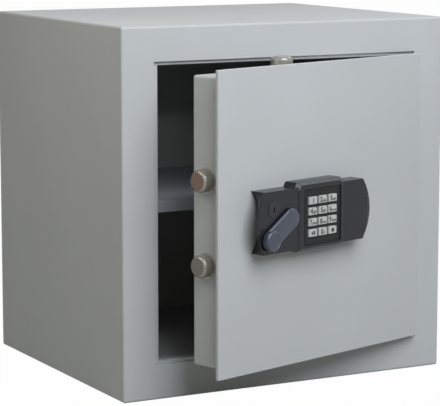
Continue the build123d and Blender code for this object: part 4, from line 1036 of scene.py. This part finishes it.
@dataclass(frozen=True)
class Screw:
    """Sizes of a socket-head screw; its whole length is read from the frame."""

    head_radius: float
    head: float
    shank_radius: float
    across_flats: float
    head_sides: int = 40
    shank_sides: int = 24
    rounding: float = 0.2 * MM

    def mesh(self, name: str, finish: Finish, faces: Sequence[Vector], axis: Vector,
             length: float) -> bpy.types.Mesh:
        """Screws at some places, all pointing one way.

        Args:
            name: Name for the mesh.
            finish: The screws' finish.
            faces: The middle of each head's outer face.
            axis: Direction out of the heads.
            length: Length of a screw with its head.

        Returns:
            One mesh with all the screws.
        """
        recipe = Recipe(name + "_recipe", finish, Axis=axis, HeadRadius=self.head_radius,
                        HeadHeight=self.head, ShankRadius=self.shank_radius,
                        ShankLength=length - self.head, SocketRadius=self.across_flats / math.sqrt(3))
        height, shank_length = recipe.value("HeadHeight"), recipe.value("ShankLength")
        head = recipe.cylinder(self.head_sides, recipe.value("HeadRadius"), height, height * -0.5)
        hexagon = recipe.cylinder(HEXAGON, recipe.value("SocketRadius"), height, 0.0)
        cut = recipe.node("GeometryNodeMeshBoolean", {"operation": "DIFFERENCE"},
                          {"Mesh 1": head, "Mesh 2": hexagon})
        shank = recipe.cylinder(self.shank_sides, recipe.value("ShankRadius"), shank_length,
                                shank_length * -0.5 - height)
        recipe.plant_upright(recipe.joined(cut, shank))
        return recipe.grow(sketched(name + "_places", faces), name, self.rounding)


# ---------------------------------------------------------------- the door's own directions
@dataclass(frozen=True)
class DoorSpace:
    """Directions and the near left corner of the door plate, as the door stands ajar."""

    corner: Vector
    along: Vector
    outward: Vector

    @classmethod
    def from_frame(cls) -> "DoorSpace":
        """Read the door's directions from its joints and its plate.

        Returns:
            The door's directions and corner.
        """
        joints = {joint["name"]: joint for joint in frame["joints"]}
        along = Vector(joints["side_bolts_slide"]["axis"])
        outward = -Vector(joints["lever_turn"]["axis"])
        left, front = reach("door_plate", along)[0], reach("door_plate", outward)[1]
        return cls(along * left + outward * front, along, outward)

    def at(self, u: float, z: float, height: float) -> Vector:
        """The place u along the door, z up and height outward."""
        return self.corner + self.along * u + UP * z + self.outward * height

    def matrix(self, origin: Vector, turn: float = 0.0) -> Matrix:
        """Local x along the door, y up and z outward.

        Args:
            origin: The local origin.
            turn: Angle by which x and y are turned about z.

        Returns:
            The change from local to the frame's coordinates.
        """
        across = self.along * math.cos(turn) + UP * math.sin(turn)
        upward = self.outward.cross(across)
        rows = [(across[i], upward[i], self.outward[i], origin[i]) for i in range(3)]
        return Matrix((*rows, (0.0, 0.0, 0.0, 1.0)))

    def span(self, node: str, direction: Vector) -> tuple[float, float]:
        """A node's lowest and highest reach along a direction, from the plate's near left corner."""
        return reach(node, direction, self.corner)

    def spans(self, node: str) -> tuple[float, ...]:
        """A node's left, right, lowest, highest, inner and outer reach, from that corner."""
        return sum((self.span(node, direction) for direction in (self.along, UP, self.outward)), ())

    def face_middle(self, node: str) -> Vector:
        """The middle of a node's outer face."""
        left, right, low, high, _inner, face = self.spans(node)
        return self.at((left + right) / 2, (low + high) / 2, face)


DOOR = DoorSpace.from_frame()


# ---------------------------------------------------------------- the object's finishes
SHELL_COAT = PowderCoat("shell_coat", (185, 189, 190))
LINER_COAT = PowderCoat("liner_coat", (188, 190, 188), roughness=0.6)
SHELF_COAT = PowderCoat("shelf_coat", (180, 184, 190), roughness=0.5)
ARM_COAT = PowderCoat("arm_coat", (70, 72, 74), roughness=0.5)
STEEL = PlatedSteel("zinc_plated_steel", (168, 168, 166))
GROUND_STEEL = PlatedSteel("ground_steel", (178, 178, 178), roughness=0.22)
BLACK_STEEL = PlatedSteel("blackened_steel", (74, 74, 76), roughness=0.4)
COLLAR_STEEL = PlatedSteel("collar_steel", (158, 158, 152), roughness=0.5)
BOARD = PressedBoard("fire_board", (214, 208, 196))
BRONZE = SinteredBronze("bearing_bronze", (168, 128, 84))
LOCK_BRASS = SinteredBronze("blackened_brass", (20, 22, 24), pores=0.1, metallic=0.1)
PLUG_BRASS = SinteredBronze("plug_brass", (14, 15, 17), pores=0.1, metallic=0.1)
CASTING = PlatedSteel("lock_casting", (150, 150, 150), roughness=0.5)
HOUSING = MouldedPlastic("housing_plastic", (26, 31, 35), roughness=0.24, gloss=0.3)
PANEL = MouldedPlastic("panel_plastic", (27, 30, 31), roughness=0.42, gloss=0.2)
KEY = MouldedPlastic("key_plastic", (184, 187, 183), roughness=0.45, gloss=0.4, grain_depth=0.01 * MM)
PLUG = MouldedPlastic("plug_plastic", (30, 30, 30))
RUBBER = SoftRubber("mat_rubber", (66, 66, 68))
CIRCUIT = TracedBoard("circuit_board_face", (24, 74, 40))
SLEEVE = CellSleeve("cell_sleeve", (32, 34, 40))
LACQUER = FlakeLacquer("lever_lacquer", (47, 55, 71))
INK = Ink("key_ink", (34, 36, 38))


# ---------------------------------------------------------------- body of the safe
@dataclass
class Carcass:
    """The body: shell, rebate, lining, shelf and the hidden hinge parts."""

    body: str = "carcass"
    rebate_rounding: float = 0.6 * MM
    sheet_rounding: float = 0.3 * MM
    plug_radius: float = 11.0 * MM
    plug_height: float = 2.4 * MM
    plug_rim: float = 0.9
    plug_dome: float = 0.8
    plug_sides: int = 40
    plug_rings: int = 12
    plug_rounding: float = 0.3 * MM
    tack_pitch: float = 46.0 * MM
    tack_radius: float = 2.2 * MM
    tack_inset: float = 6.6 * MM
    tack_least: tuple[float, float, float] = (0.45, 1.6, 0.5)
    tack_most: tuple[float, float, float] = (0.6, 2.4, 0.65)
    tack_seed: int = 4

    def build(self) -> None:
        """Finish every piece of the body."""
        dress(SHELL_COAT, "outer_shell", "back_plate")
        dress(LINER_COAT, "inner_liner")
        dress(SHELF_COAT, "shelf")
        dress(BOARD, "filling_boards")
        dress(STEEL, "anchor_sleeves", "hinge_lugs", "thrust_washers")
        dress(GROUND_STEEL, "hinge_pins")
        soften_node("rebate_frame", SHELL_COAT, self.body, "shell_paint", self.rebate_rounding)
        soften_node("shelf_rails", SHELF_COAT, self.body, "shelf_paint", self.sheet_rounding)
        self.anchor_plugs()
        self.rail_tacks()

    def anchor_plugs(self) -> None:
        """Domed plugs over the anchor holes, inside the safe."""
        floor_spots, wall_spots = [], []
        for low, high in islands("anchor_sleeves"):
            middle = (low + high) / 2
            if high.z - low.z > high.y - low.y:
                floor_spots.append(Vector((middle.x, middle.y, high.z)))
            else:
                wall_spots.append(Vector((middle.x, low.y, middle.z)))
        for name, spots, axis in (("floor_anchor_plugs", floor_spots, UP),
                                  ("wall_anchor_plugs", wall_spots, Vector((0.0, -1.0, 0.0)))):
            mesh = self.plug_mesh(name, spots, axis)
            Piece(name, mesh, PLUG, self.body, "panel_plastic").settle()

    def plug_mesh(self, name: str, spots: Sequence[Vector], axis: Vector) -> bpy.types.Mesh:
        """Flat domes on some spots.

        Args:
            name: Name for the mesh.
            spots: Where each plug sits.
            axis: Direction out of the sheet.

        Returns:
            One mesh with all the plugs.
        """
        recipe = Recipe(name + "_recipe", PLUG, Axis=axis, Radius=self.plug_radius, Height=self.plug_height)
        radius, height = recipe.value("Radius"), recipe.value("Height")
        rim = recipe.cylinder(self.plug_sides, radius, height * self.plug_rim, height * (self.plug_rim / 2))
        ball = recipe.node("GeometryNodeMeshUVSphere", None,
                           {"Segments": self.plug_sides, "Rings": self.plug_rings, "Radius": 1.0})
        across = radius * self.plug_dome
        size = recipe.node("ShaderNodeCombineXYZ", None, {"X": across, "Y": across, "Z": height})
        dome = recipe.node("GeometryNodeTransform", None, {"Geometry": ball, "Scale": size})
        recipe.plant_upright(recipe.joined(rim, recipe.moved(dome, height * 0.5)))
        return recipe.grow(sketched(name + "_places", spots), name, self.plug_rounding)

    def rail_tacks(self) -> None:
        """Tack welds under the rails, where they meet the lining."""
        recipe = Recipe("rail_tack_recipe", SHELF_COAT, Pitch=self.tack_pitch, Radius=self.tack_radius)
        path = recipe.node("GeometryNodeMeshToCurve", None, {"Mesh": recipe.value("Geometry")})
        spots = recipe.node("GeometryNodeResampleCurve", {"mode": "LENGTH"},
                            {"Curve": path, "Length": recipe.value("Pitch")})
        bead = recipe.node("GeometryNodeMeshIcoSphere", None,
                           {"Radius": recipe.value("Radius"), "Subdivisions": 3})
        size = recipe.node("FunctionNodeRandomValue", {"data_type": "FLOAT_VECTOR"},
                           {"Min": self.tack_least, "Max": self.tack_most, "Seed": self.tack_seed})
        recipe.plant(spots, bead, Scale=size)
        lines, joints = [], []
        for low, high in islands("shelf_rails"):
            wall = low.x if low.x < 0 else high.x
            lines += [(wall, y, low.z) for y in (low.y + self.tack_inset, high.y - self.tack_inset)]
            joints.append((len(lines) - 2, len(lines) - 1))
        mesh = recipe.grow(sketched("rail_tack_lines", lines, joints), "rail_tacks")
        smooth_by_angle(mesh)
        Piece("rail_tacks", mesh, SHELF_COAT, self.body, "shelf_paint").settle()


# ---------------------------------------------------------------- door
@dataclass
class Door:
    """The door's plate, case, hinge arms and everything screwed to them."""

    body: str = "door"
    plate_rounding: float = 0.8 * MM
    sheet_rounding: float = 0.3 * MM
    rim_width: float = 5.0 * MM
    arm_rounding: float = 0.8 * MM
    collar_rounding: float = 0.4 * MM
    cover_screw: Screw = Screw(3.6 * MM, 2.4 * MM, 1.9 * MM, 2.5 * MM)
    arm_screw: Screw = Screw(5.0 * MM, 3.0 * MM, 2.9 * MM, 5.0 * MM)

    def build(self) -> None:
        """Finish every piece of the door."""
        for node, rounding in (("door_plate", self.plate_rounding), ("door_case", self.sheet_rounding)):
            soften_node(node, SHELL_COAT, self.body, "shell_paint", rounding, segments=3,
                        zone=self.rim(node))
        soften_node("door_back_cover", SHELL_COAT, self.body, "shell_paint", self.sheet_rounding)
        for node in ("upper_hinge_arm", "lower_hinge_arm"):
            soften_node(node, ARM_COAT, self.body, "dark_steel", self.arm_rounding, segments=3)
        soften_node("bolt_collars", COLLAR_STEEL, self.body, "collar_steel", self.collar_rounding,
                    segments=3)
        dress(STEEL, "hard_plate", "arm_backers", "guide_studs")
        dress(BRONZE, "hinge_bushes", "spindle_bush")
        dress(BLACK_STEEL, "housing_screws")
        self.screws("cover_screws", self.cover_screw, -DOOR.outward)
        self.screws("arm_screws", self.arm_screw, DOOR.along)

    def rim(self, node: str) -> Callable[[Vector], bool]:
        """A test that tells whether a place is near the outer edges of a node.

        Args:
            node: The node.

        Returns:
            The test.
        """
        left, right, low, high, *_depth = DOOR.spans(node)

        def near(place: Vector) -> bool:
            """Whether a place is within the rim's width of an edge."""
            u, z = ((place - DOOR.corner).dot(direction) for direction in (DOOR.along, UP))
            return min(u - left, right - u, z - low, high - z) < self.rim_width

        return near

    def screws(self, node: str, size: Screw, axis: Vector) -> None:
        """Stand screws with real sockets in the place of a node of plain ones.

        Args:
            node: A node of separate screws that share a direction.
            size: Their sizes.
            axis: Direction out of their heads.
        """
        inner, outer = reach(node, axis)
        middles = [(low + high) / 2 for low, high in islands(node)]
        faces = [middle + axis * (outer - middle.dot(axis)) for middle in middles]
        name = node.removesuffix("s") + "_set"
        mesh = size.mesh(name, BLACK_STEEL, faces, axis, outer - inner)
        Piece(name, mesh, BLACK_STEEL, self.body, "screw_steel", (node,)).settle()


@dataclass
class BoltWork:
    """The round bolts and the slides, disc and lock that move and block them."""

    tip_rounding: float = 3.3 * MM
    # Painted reflection: a lighter wall tone and end face tones that differ bolt by bolt (brownish on the
    # upper side bolt, grey on the lower one, bright on the top and bottom bolts) stand in for what each
    # surface reflects.
    wall_reflection_tone: Tone = (150, 148, 138)
    upper_bolt_reflection: Tone = (104, 86, 76)
    lower_bolt_reflection: Tone = (96, 95, 88)
    end_bolt_reflection: Tone = (168, 168, 164)

    def build(self) -> None:
        """Finish every moving piece of the bolt work."""
        for node, body, tip in (("upper_side_bolt", "side_bolts", -DOOR.along),
                                ("lower_side_bolt", "side_bolts", -DOOR.along),
                                ("top_bolt", "top_bolt", UP), ("bottom_bolt", "bottom_bolt", -UP)):
            soften_node(node, self.bolt_finish(node, tip), body, "bright_bolt", self.tip_rounding,
                        segments=5, zone=self.near_tip(node, tip))
        dress(STEEL, "side_carriage", "top_rod", "bottom_rod", "drive_disc", "spindle_clip")
        dress(GROUND_STEEL, "spindle", "lock_bar")
        dress(BLACK_STEEL, "bolt_screws", "lock_screws")
        dress(CASTING, "lock_case")

    def near_tip(self, node: str, tip: Vector) -> Callable[[Vector], bool]:
        """A test that tells whether a place is within the rounding of a bolt's end face."""
        limit = reach(node, tip)[1] - self.tip_rounding
        return lambda place: place.dot(tip) > limit

    def bolt_finish(self, node: str, axis: Vector) -> TurnedMetal:
        """The turned finish of one bolt, centred on its own axis, with the end face tone that paints that
        bolt's reflection.

        Args:
            node: The bolt.
            axis: Direction out of its end face.

        Returns:
            A finish for this bolt alone.
        """
        low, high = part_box(node)
        middle = (low + high) / 2
        # Painted reflection: each bolt's end face takes the tone of the reflection it shows.
        reflected_face = self.end_bolt_reflection if axis.z else self.upper_bolt_reflection if node == "upper_side_bolt" else self.lower_bolt_reflection
        vertices = frame["nodes"][node].data.vertices
        wide = max((vertex.co - middle).cross(axis).length for vertex in vertices)
        return TurnedMetal(node + "_metal", self.wall_reflection_tone, tuple(middle), tuple(axis), reflected_face,
                           wide - self.tip_rounding)


# ---------------------------------------------------------------- lock housing, keypad and cylinder
@dataclass
class LockUnit:
    """The moulded housing on the door's front, with its keypad panel, keys and cylinder."""

    body: str = "door"
    housing_rounding: float = 0.6 * MM
    housing_crease: float = 20.0
    end_depth: float = 15.0 * MM
    panel_rounding: float = 0.3 * MM
    trim_width: float = 0.9 * MM
    trim_height: float = 0.35 * MM
    trim_inset: float = 2.6 * MM
    trim_rounding: float = 0.12 * MM
    bezel_rounding: float = 0.25 * MM
    plug_rounding: float = 0.08 * MM
    key_rounding: float = 0.3 * MM
    key_taper: float = 0.7 * MM
    mark_height: float = 6.4 * MM
    mark_weight: float = 0.28 * MM
    mark_thickness: float = 0.06 * MM
    mark_room: float = 13.4 * MM
    letter_height: float = 3.6 * MM
    letter_weight: float = 0.17 * MM
    letter_gap: float = 0.7 * MM
    capital_share: float = 0.7
    layer_step: float = 0.125
    dot_share: float = 0.44
    dot_steps: int = 28

    def build(self) -> None:
        """Finish the housing and all that it holds."""
        self.housing()
        soften_node("keypad_panel", PANEL, self.body, "panel_plastic", self.panel_rounding)
        dress(CIRCUIT, "circuit_board")
        dress(RUBBER, "key_mat")
        dress(SLEEVE, "battery_cells")
        self.panel_trim()
        self.cylinder()
        self.keys()

    def housing(self) -> None:
        """The housing with its straight edges rounded; the rims of its scooped ends stay crisp."""
        left, right = DOOR.span("lock_housing", DOOR.along)

        def straight(middle: Vector) -> bool:
            """Whether a place is between the housing's scooped ends."""
            u = (middle - DOOR.corner).dot(DOOR.along)
            return left + self.end_depth < u < right - self.end_depth

        soften_node("lock_housing", HOUSING, self.body, "housing_plastic", self.housing_rounding,
                    segments=3, crease=self.housing_crease, zone=straight)

    def panel_trim(self) -> None:
        """A thin raised line round the keypad panel."""
        left, right, low, high, _inner, face = DOOR.spans("keypad_panel")
        loops = []
        for grow, height in ((0.0, 0.0), (0.0, self.trim_height), (self.trim_width, self.trim_height),
                             (self.trim_width, 0.0)):
            inset = self.trim_inset + grow
            x0, x1, y0, y1 = left + inset, right - inset, low + inset, high - inset
            loops.append([(x, y, height) for x, y in ((x0, y0), (x1, y0), (x1, y1), (x0, y1))])
        plain = skinned(loops, "keypad_trim_plain", ring=True)
        plain.transform(DOOR.matrix(DOOR.at(0.0, 0.0, face)))
        mesh = softened(plain, "keypad_trim", self.trim_rounding)
        Piece("keypad_trim", mesh, PANEL, self.body, "panel_plastic").settle()

    def cylinder(self) -> None:
        """The emergency cylinder: a ringed bezel, and the plug with its keyway."""
        soften_node("key_cylinder", LOCK_BRASS, self.body, "cylinder_brass", self.bezel_rounding,
                    segments=3)
        soften_node("cylinder_plug", PLUG_BRASS, "cylinder_plug", "cylinder_brass", self.plug_rounding)

    def keys(self) -> None:
        """Taper the keys' caps and mark each one."""
        letters = {"1": "", "2": "abc", "3": "def", "4": "ghi", "5": "jkl", "6": "mno", "7": "pqrs",
                   "8": "tuv", "9": "wxyz", "0": "+"}
        others = ("key_mat", "key_cylinder")
        for node in sorted(name for name in frame["nodes"] if name.startswith("key_")):
            if node in others:
                continue
            self.key_cap(node)
            sign = node.removeprefix("key_")
            if sign in letters:
                mark = self.number(sign, letters[sign])
            else:
                mark = self.arrow() if sign == "left" else self.dot()
            mark.transform(DOOR.matrix(DOOR.face_middle(node)))
            Piece(node + "_mark", mark, INK, node, "panel_plastic").settle()

    def key_cap(self, node: str) -> None:
        """Stand a cap that narrows towards its face in a key's place.

        Args:
            node: The key.
        """
        name = node + "_cap"
        mesh = softened(frame["nodes"][node].data, name, self.key_rounding)
        foot = DOOR.span("keypad_panel", DOOR.outward)[1]
        top = DOOR.span(node, DOOR.outward)[1]
        for axis in (DOOR.along, UP):
            low, high = DOOR.span(node, axis)
            middle, half = (low + high) / 2, (high - low) / 2
            for vertex in mesh.vertices:
                place = vertex.co - DOOR.corner
                rise = max(0.0, (place.dot(DOOR.outward) - foot) / (top - foot))
                vertex.co -= axis * ((place.dot(axis) - middle) / half * rise * self.key_taper)
        Piece(name, mesh, KEY, node, "key_plastic", (node,)).settle()

    def number(self, digit: str, letters: str) -> bpy.types.Mesh:
        """A bold digit with its small letters on the right.

        Args:
            digit: The digit.
            letters: The letters beside it, or none.

        Returns:
            One mesh, centred on the origin.
        """
        parts = [self.writing(digit, self.mark_height, self.mark_weight, 0.0)]
        if letters:
            edge = max(vertex.co.x for vertex in parts[0].vertices)
            start = edge + self.letter_gap
            parts.append(self.writing(letters, self.letter_height, self.letter_weight, start))
        whole = merged(parts, "mark_" + digit)
        lows = [min(vertex.co[axis] for vertex in whole.vertices) for axis in range(2)]
        highs = [max(vertex.co[axis] for vertex in whole.vertices) for axis in range(2)]
        squeeze = min(1.0, self.mark_room / (highs[0] - lows[0]))
        centring = Matrix.Translation([-(low + high) / 2 for low, high in zip(lows, highs)] + [0.0])
        whole.transform(Matrix.Diagonal((squeeze, 1.0, 1.0, 1.0)) @ centring)
        return whole

    def writing(self, text: str, height: float, weight: float, start: float) -> bpy.types.Mesh:
        """Printed text whose left edge is at a start.

        Args:
            text: What to print.
            height: Height of a capital.
            weight: How far the strokes are thickened to each side.
            start: Place of the left edge.

        Returns:
            A thin mesh.
        """
        curve = bpy.data.curves.new("text_" + text, "FONT")
        curve.body = text
        curve.size = height / self.capital_share
        curve.extrude = self.mark_thickness
        flat = applied(linked("text_carrier", curve), "text_" + text)
        thin = meshed(builder_of(flat, TEXT_JOIN_WITHIN), "joined_" + text)
        shift = start + weight - min(vertex.co.x for vertex in thin.vertices)
        layers = []
        for step, (x, y) in enumerate(((-1, -1), (1, -1), (-1, 1), (1, 1))):
            layer = thin.copy()
            rise = step * self.mark_thickness * self.layer_step
            layer.transform(Matrix.Translation((shift + x * weight, y * weight, rise)))
            layers.append(layer)
        return merged(layers, "bold_" + text)

    def arrow(self) -> bpy.types.Mesh:
        """A solid triangle that points left, with a bar behind it.

        Returns:
            One mesh.
        """
        half = self.mark_height * 0.5
        shapes = (("arrow_head", ((-1.3, 0.0), (0.1, -1.0), (0.1, 1.0))),
                  ("arrow_bar", ((0.4, -0.8), (1.2, -0.8), (1.2, 0.8), (0.4, 0.8))))
        return merged([self.flat_mark([(x * half, y * half) for x, y in corners], name)
                       for name, corners in shapes], "arrow_mark")

    def dot(self) -> bpy.types.Mesh:
        """A solid disc.

        Returns:
            Its mesh.
        """
        radius = self.mark_height * self.dot_share
        turns = [math.tau * i / self.dot_steps for i in range(self.dot_steps)]
        return self.flat_mark([(radius * math.cos(t), radius * math.sin(t)) for t in turns], "dot_mark")

    def flat_mark(self, corners: Sequence[tuple[float, float]], name: str) -> bpy.types.Mesh:
        """A thin closed slab with an outline."""
        heights = (-self.mark_thickness, self.mark_thickness)
        return skinned([[(x, y, height) for x, y in corners] for height in heights], name)


@dataclass
class Lever:
    """The turning lever: a flat chamfered arm with a round boss to grip at its end."""

    body: str = "lever"
    droop: float = math.radians(32.5)
    arm_top: float = 30.0 * MM
    edge: float = 0.35 * MM
    chamfer: float = 1.5 * MM
    boss_chamfer: float = 1.7 * MM
    dish: float = 0.5 * MM
    hub_radius: float = 9.0 * MM
    hub_height: float = 1.7 * MM
    dish_start: float = 1.2 * MM
    dish_foot: float = 2.0 * MM
    crease: float = 24.0
    boss_steps: int = 72
    side_steps: int = 24
    end_steps: int = 32

    def build(self) -> None:
        """Sculpt the lever and stand it in the node's place."""
        pivot = self.pivot()
        turn = math.pi + self.droop
        direction = DOOR.along * math.cos(turn) + UP * math.sin(turn)
        near, far = reach("lever", direction, pivot)
        radius, length = -near, far + near
        foot, top = DOOR.span("lever", DOOR.outward)
        under = foot + self.hub_height
        parts = [self.arm(radius, length, under), self.boss(radius, length, under, top),
                 self.hub(foot, under)]
        mesh = merged(parts, "lever_sculpted")
        mesh.transform(DOOR.matrix(pivot, turn))
        smooth_by_angle(mesh, self.crease)
        Piece("lever_sculpted", mesh, LACQUER, self.body, "lever_paint", ("lever",)).settle()

    def pivot(self) -> Vector:
        """The spindle's axis where it crosses the plate's front face.

        Returns:
            That place.
        """
        joint = next(joint for joint in frame["joints"] if joint["name"] == "lever_turn")
        place = Vector(joint["pos_m"])
        return place - DOOR.outward * (place - DOOR.corner).dot(DOOR.outward)

    def outline(self, radius: float, length: float) -> list[tuple[float, float]]:
        """Points round an outline with two round ends.

        Args:
            radius: Half its width.
            length: Distance between the centres of its ends.

        Returns:
            (x, y) pairs, the same number for every radius.
        """
        points = [(length * i / self.side_steps, -radius) for i in range(self.side_steps)]
        for centre, start in ((length, -math.pi / 2), (0.0, math.pi / 2)):
            for i in range(self.end_steps):
                angle = start + math.pi * i / self.end_steps
                points.append((centre + radius * math.cos(angle), radius * math.sin(angle)))
            if centre > 0:
                points += [(length * (1 - i / self.side_steps), radius) for i in range(self.side_steps)]
        return points

    def rise(self, radius: float, under: float, top: float, chamfer: float) -> list[tuple[float, float]]:
        """Radius and height up a wall and over its chamfered top edge.

        Args:
            radius: Radius at the wall.
            under: Height of the underside.
            top: Height of the top.
            chamfer: Width of the chamfer.

        Returns:
            (radius, height) pairs from the underside to the top.
        """
        edge, shoulder, tail = self.edge, self.edge * 0.7, self.edge * 0.3
        return [(radius - edge, under), (radius, under + edge), (radius, top - chamfer),
                (radius - edge / 2, top - chamfer + shoulder), (radius - chamfer + shoulder, top - tail),
                (radius - chamfer - tail, top)]

    def arm(self, radius: float, length: float, under: float) -> bpy.types.Mesh:
        """The flat arm.

        Args:
            radius: Half its width.
            length: Distance between the centres of its ends.
            under: Height of its underside.

        Returns:
            A closed mesh.
        """
        wall = self.rise(radius, under, self.arm_top, self.chamfer)
        loops = [[(x, y, height) for x, y in self.outline(wide, length)] for wide, height in wall]
        return skinned(loops, "lever_arm")

    def boss(self, radius: float, length: float, under: float, top: float) -> bpy.types.Mesh:
        """The round boss at the arm's end, with a slightly dished face.

        Args:
            radius: Its radius.
            length: Place of its centre along the arm.
            under: Height of the arm's underside.
            top: Height of its face.

        Returns:
            A closed mesh.
        """
        wall = self.rise(radius, under + self.edge, top, self.boss_chamfer)
        rim, low = wall[-1][0], top - self.dish
        face = [(rim - self.dish_start, top), (rim - self.dish_foot, low), (0.0, low)]
        made = lathe([(0.0, wall[0][1])] + wall + face, "lever_boss", self.boss_steps)
        made.transform(Matrix.Translation((length, 0.0, 0.0)))
        return made

    def hub(self, foot: float, under: float) -> bpy.types.Mesh:
        """The short round hub under the arm.

        Args:
            foot: Height of its foot.
            under: Height of the arm's underside.

        Returns:
            A closed mesh.
        """
        radius, top = self.hub_radius, under + self.edge
        return lathe([(0.0, foot), (radius - self.edge, foot), (radius, foot + self.edge), (radius, top),
                      (0.0, top)], "lever_hub")


# ---------------------------------------------------------------- studio
class Ray(Enum):
    """Kinds of ray that see the studio's white background."""

    CAMERA = "Is Camera Ray"
    GLOSSY = "Is Glossy Ray"
    TRANSMISSION = "Is Transmission Ray"


@dataclass(frozen=True)
class Lamp:
    """A square soft lamp: where it hangs as seen from the object, its side, its power and its colour."""

    name: str
    azimuth: float
    elevation: float
    distance: float
    size: float
    power: float
    tone: tuple[float, float, float] = (1.0, 1.0, 1.0)

    def hang(self, target: Vector) -> None:
        """Place the lamp; its azimuth is in degrees to the right of straight ahead.

        Args:
            target: What it faces.
        """
        turn, rise = math.radians(self.azimuth), math.radians(self.elevation)
        level = math.cos(rise)
        direction = Vector((math.sin(turn) * level, -math.cos(turn) * level, math.sin(rise)))
        data = bpy.data.lights.new(self.name, "AREA")
        data.size = self.size
        data.energy = self.power
        data.color = self.tone
        made = linked(self.name, data)
        made.location = target + direction * self.distance
        made.rotation_mode = "QUATERNION"
        made.rotation_quaternion = direction.to_track_quat("Z", "Y")


@dataclass
class Studio:
    """Camera, lamps, world and floor."""

    camera_place: Vector = field(default_factory=lambda: Vector((-1.4064, -2.6441, 0.6684)))
    yaw: float = math.radians(28.13)
    pitch: float = math.radians(8.42)
    focal_pixels: float = 2078.8
    sensor: float = 36.0
    sight: float = 100.0
    target: Vector = field(default_factory=lambda: Vector((0.0, -0.2, 0.25)))
    lamps: tuple[Lamp, ...] = (Lamp("front_light", 0.0, 41.0, 1.9, 1.4, 38.8, (0.94, 0.95, 1.0)),
                               Lamp("left_light", -88.0, 36.0, 1.1, 0.5, 2.1, (1.0, 0.9, 0.8)),
                               Lamp("right_light", 98.0, 47.0, 1.3, 0.5, 1.9, (0.9, 0.92, 1.0)))
    ambient: float = 0.12
    ambient_tone: tuple[float, float, float, float] = (0.93, 1.0, 0.82, 1.0)
    floor_tone: Tone = (160, 160, 157)
    floor_white: float = 0.985
    floor_half: float = 30.0

    def build(self) -> None:
        """Set up the studio."""
        bpy.context.scene.view_settings.view_transform = "Standard"
        self.camera()
        self.world()
        self.floor()
        for lamp in self.lamps:
            lamp.hang(self.target)

    def camera(self) -> None:
        """The camera, level and without shift."""
        data = bpy.data.cameras.new("camera")
        data.sensor_width = self.sensor
        data.lens = self.focal_pixels * self.sensor / max(IMAGE_WIDTH, IMAGE_HEIGHT)
        data.clip_end = self.sight
        made = linked("camera", data)
        made.location = self.camera_place
        made.rotation_euler = (math.pi / 2 - self.pitch, 0.0, -self.yaw)
        bpy.context.scene.camera = made

    @staticmethod
    def white_share(tree: Tree, share: float) -> Wire:
        """A factor that is a share for the rays that see white, and 0 for all others.

        Args:
            tree: The node tree to add to.
            share: The factor for camera, glossy and transmission rays.

        Returns:
            The factor.
        """
        seen = camera = tree.node("ShaderNodeLightPath", output=Ray.CAMERA.value)
        for ray in (Ray.GLOSSY, Ray.TRANSMISSION):
            seen = tree.maths("MAXIMUM", seen, camera.sibling(ray.value))
        return seen * share

    def world(self) -> None:
        """White to the camera and in reflections, and a plain level of light for the rest."""
        world = bpy.data.worlds.new("studio_world")
        bpy.context.scene.world = world
        world.use_nodes = True
        tree = Tree(world.node_tree)
        plain, white = (tree.node("ShaderNodeBackground", None, {"Color": colour, "Strength": strength})
                        for colour, strength in ((self.ambient_tone, self.ambient), (WHITE, 1.0)))
        either = tree.node("ShaderNodeMixShader", None, {0: self.white_share(tree, 1.0), 1: plain, 2: white})
        tree.node("ShaderNodeOutputWorld", None, {"Surface": either})

    def floor(self) -> None:
        """A plain pale floor, nearly white to the camera, which keeps the object's shadow."""
        half = self.floor_half
        corners = [(-half, -half, 0.0), (half, -half, 0.0), (half, half, 0.0), (-half, half, 0.0)]
        mesh = sketched("floor", corners, faces=[(0, 1, 2, 3)])
        graph = Graph("floor_paint")
        cloud = graph.noise(1.5, 3.0)
        pale = graph.mix(cloud.ramped(0.3, 0.7), shaded(self.floor_tone, 0.99), linear(self.floor_tone))
        plain = graph.node("ShaderNodeBsdfPrincipled", None,
                           {"Base Color": pale, "Roughness": 0.85 + cloud * 0.05, "Specular IOR Level": 0.0})
        white = graph.node("ShaderNodeEmission", None, {"Color": WHITE, "Strength": 1.0})
        share = self.white_share(graph, self.floor_white)
        graph.show(graph.node("ShaderNodeMixShader", None, {0: share, 1: plain, 2: white}))
        mesh.materials.append(graph.material)
        linked("floor", mesh)


def main() -> None:
    """Build the safe's looks, one sub-assembly after another."""
    logging.basicConfig(level=logging.INFO, format="%(name)s: %(message)s")
    for assembly in (Studio(), Carcass(), Door(), BoltWork(), LockUnit(), Lever()):
        assembly.build()


if __name__ == "__main__":
    main()
